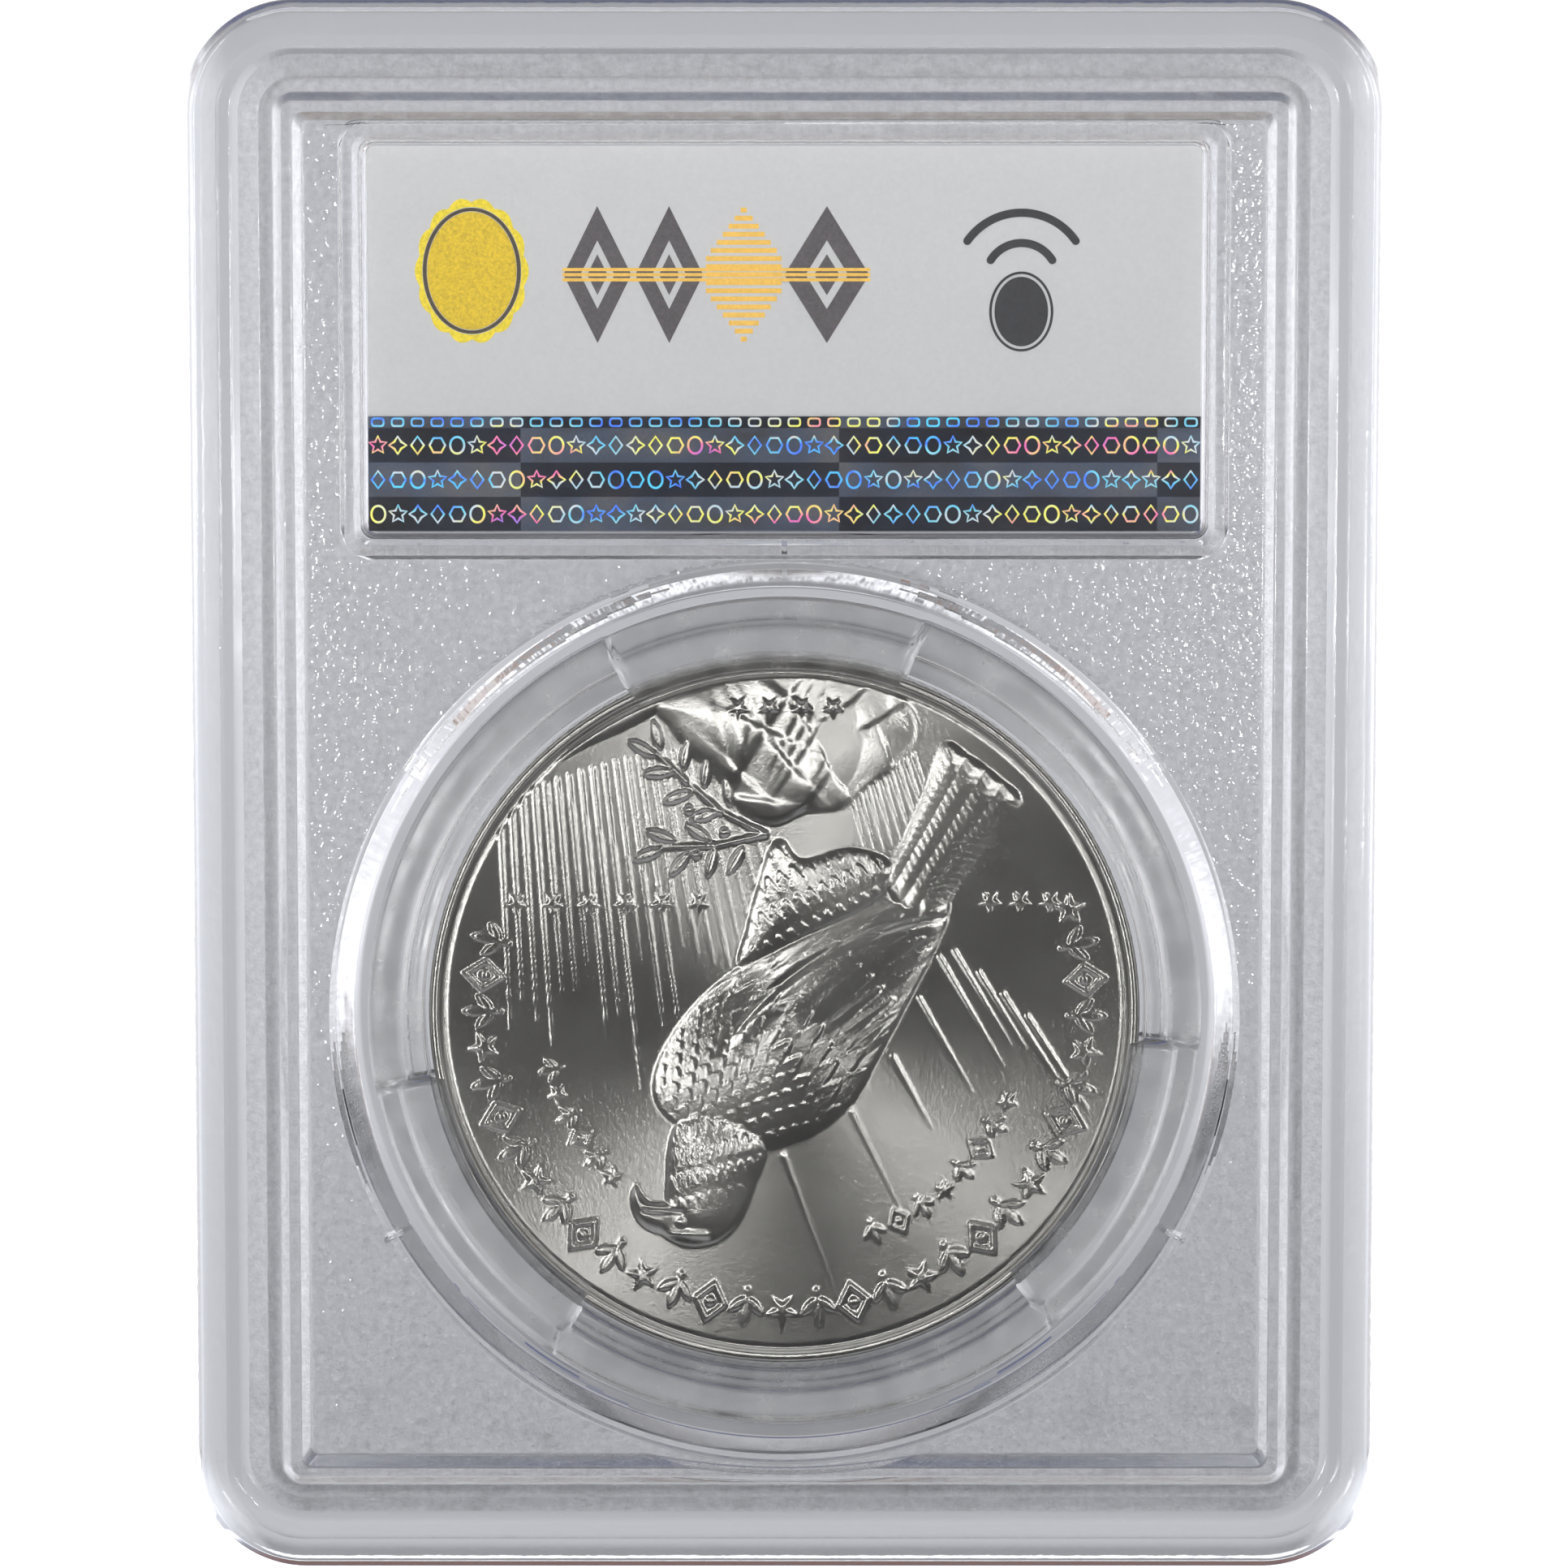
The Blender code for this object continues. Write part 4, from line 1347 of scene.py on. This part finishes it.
def add_foil():
    materials = [
        foil_look("foil_dark", (0.010, 0.010, 0.014), (0.024, 0.024, 0.032)),
        foil_look("foil_pale", (0.055, 0.055, 0.062), (0.115, 0.115, 0.125)),
    ]
    sheet = foil_sheet().object("hologram_foil", materials)
    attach(sheet, "root")
    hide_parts("hologram_strip")
    face_y = STRIP_LOW[1]
    print_marks("hologram_motifs", painted_rainbow_look(), face_y, foil_motifs())


def add_label():
    paper = paper_look("label_paper", (0.55, 0.55, 0.55))
    outline = rounded_rectangle(LABEL_HALF_W, LABEL_HALF_H, 0.35 * MM, LABEL_Z, steps=6)
    for name, node, low, high in (
        ("label_back", "label_back_ply", LABEL_LOW, LABEL_HIGH),
        ("label_front", "label_front_ply", FRONT_PLY_LOW, FRONT_PLY_HIGH),
    ):
        solid = Solid()
        solid.slab([outline], low[1], high[1])
        sheet = solid.object(name, [paper])
        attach(sheet, "root")
        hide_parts(node)
    print_seal(LABEL_LOW[1])
    print_ornament(LABEL_LOW[1])
    print_waves(LABEL_LOW[1])
    print_front(FRONT_PLY_HIGH[1])
    add_foil()


def dress_tag():
    """Finishes for the tag's own solids, which lie between the two plies."""
    looks = {
        "tag_film": opaque_look(
            "tag_film_clear", (2, 3.0), (0.62, 0.65, 0.67), (0.70, 0.73, 0.75),
            Roughness=0.25,
        ),
        "tag_chip": opaque_look(
            "tag_chip_silicon", (0.15, 2.0), (0.015, 0.015, 0.018), (0.03, 0.03, 0.036),
            Roughness=0.35,
        ),
        "tag_antenna": metal_look("tag_antenna_metal", (0.78, 0.78, 0.80), 0.35),
        "tag_jumper": metal_look("tag_jumper_metal", (0.70, 0.70, 0.72), 0.4),
    }
    for name, material in looks.items():
        materials = bpy.data.objects[name].data.materials
        materials.clear()
        materials.append(material)


# ---- stage


def stage_floor():
    """A pale floor that curves up into a wall all round."""
    look = Look("pale_floor", Roughness=0.85)
    look.set(Emission_Color=(*WHITE, 1.0), Emission_Strength=0.35)
    look.tone(look.noise(12, 3.0), (0.84, 0.84, 0.85), (0.87, 0.87, 0.88))
    solid = Solid()
    flat, bend = 0.6, 0.9
    profile = [(0.05, 0.0), (flat, 0.0)]
    for i in range(1, 17):
        angle = math.radians(90) * i / 16
        profile.append((flat + bend * math.sin(angle), bend * (1 - math.cos(angle))))
    profile.append((1.5, 1.1))
    around = [2 * math.pi * i / 96 for i in range(96)]
    loops = [
        solid.points([(r * math.cos(a), r * math.sin(a), h - 0.0001) for a in around])
        for r, h in profile
    ]
    solid.bridge(loops)
    solid.fill([loops[0]])
    floor = solid.object("floor", [look.material])
    floor.visible_glossy = False
    floor.visible_transmission = False
    floor.visible_shadow = False


def stage_world():
    """A soft studio seen through the plastic, as colours of the direction looked at.

    Behind the slab it is grey, with narrow bright strips above and on each side, and
    with brown and blue shades. In front of it, it is dark between soft level bands.
    """
    world = bpy.data.worlds.new("studio")
    world.use_nodes = True
    sky = Tree(world.node_tree)
    place = sky.add("TexCoord", "Generated", {})
    axes = sky.nodes.new("ShaderNodeSeparateXYZ")
    sky.fill(axes, {0: place})
    x, y, z = axes.outputs
    absolute = sky.nodes.new("ShaderNodeMath")
    absolute.operation = "ABSOLUTE"
    sky.fill(absolute, {0: x})

    def ramp(value, *stops):
        """Stops from -1 to 1 along an axis; a plain number is a slightly blue grey."""
        spread = sky.add("MapRange", "Result", {"Value": value, "From_Min": -1.0})
        colours = []
        for at, colour in stops:
            if isinstance(colour, float):
                colour = (colour * 0.985, colour * 0.99, colour * 1.01)
            colours.append(((at + 1) / 2, colour))
        return sky.ramp(spread, colours, "EASE")

    depth = ramp(y, (-0.95, 0.02), (-0.3, 0.07), (0.3, 0.55), (0.9, 0.72))
    height = ramp(
        z,
        (-0.9, 0.3), (-0.74, 0.3), (-0.58, (0.10, 0.13, 0.32)), (-0.42, 0.5), (-0.2, 0.8),
        (-0.08, 0.92), (0.0, 0.9), (0.2, 0.5), (0.30, 0.5), (0.34, 2.2), (0.37, 2.2),
        (0.42, 0.4), (0.54, (0.42, 0.21, 0.11)), (0.68, 0.35), (0.95, 0.8),
    )
    sides = ramp(
        absolute.outputs[0],
        (0.08, 0.0), (0.18, 0.3), (0.4, 0.75), (0.56, 0.80), (0.61, 2.6), (0.65, 2.6),
        (0.71, (0.62, 0.40, 0.26)), (0.82, (0.42, 0.36, 0.33)), (0.92, (0.20, 0.27, 0.45)),
        (1.0, 0.4),
    )
    upper = ramp(z, (-0.4, 0.12), (-0.05, 0.7), (0.2, 0.9), (0.48, 0.25), (0.8, 0.25))
    behind = ramp(y, (-0.1, 0.0), (0.3, 1.0))
    strips = sky.mix("MULTIPLY", sky.mix("MULTIPLY", sides, upper), behind)
    around = ramp(y, (-0.88, 0.0), (-0.7, 0.6), (-0.4, 0.7), (0.0, 0.0))
    bands = ramp(
        z, (-0.85, 0.9), (-0.6, 0.75), (-0.45, 0.1), (-0.15, 0.12), (0.1, 0.7), (0.4, 0.15),
        (0.7, 0.9),
    )
    light = sky.mix("ADD", sky.mix("MULTIPLY", depth, height), strips)
    light = sky.mix("ADD", light, sky.mix("MULTIPLY", around, bands))
    sky.fill(sky.nodes["Background"], {"Color": light})
    bpy.context.scene.world = world


def stage_lamps():
    lamps = (
        ("left", (-0.45, -0.20, 0.22), (0.03, 0.42), 0.7),
        ("right", (0.45, -0.20, 0.22), (0.03, 0.42), 0.6),
        ("crown", (0.0, -0.14, 0.78), (0.7, 0.04), 0.9),
        ("near_right", (0.136, -0.584, 0.041), (0.04, 0.04), 0.32),
        ("near_left", (-0.164, -0.577, 0.012), (0.04, 0.04), 0.47),
        ("top", (0.0, 0.10, 0.80), (0.9, 0.6), 8.0),
    )
    for name, at, size, power in lamps:
        data = bpy.data.lights.new(name, "AREA")
        data.shape = "RECTANGLE"
        data.size, data.size_y = size
        data.energy = power
        lamp = bpy.data.objects.new("lamp_" + name, data)
        lamp.location = at
        aim = Vector((0, 0, MID_Z)) - lamp.location
        lamp.rotation_euler = aim.to_track_quat("-Z", "Y").to_euler()
        lamp.visible_camera = False
        lamp.visible_transmission = False
        bpy.context.scene.collection.objects.link(lamp)


bpy.context.scene.view_settings.view_transform = "Standard"
stage_floor()
stage_world()
stage_lamps()
add_shells()
add_ring()
add_coin()
add_label()
dress_tag()
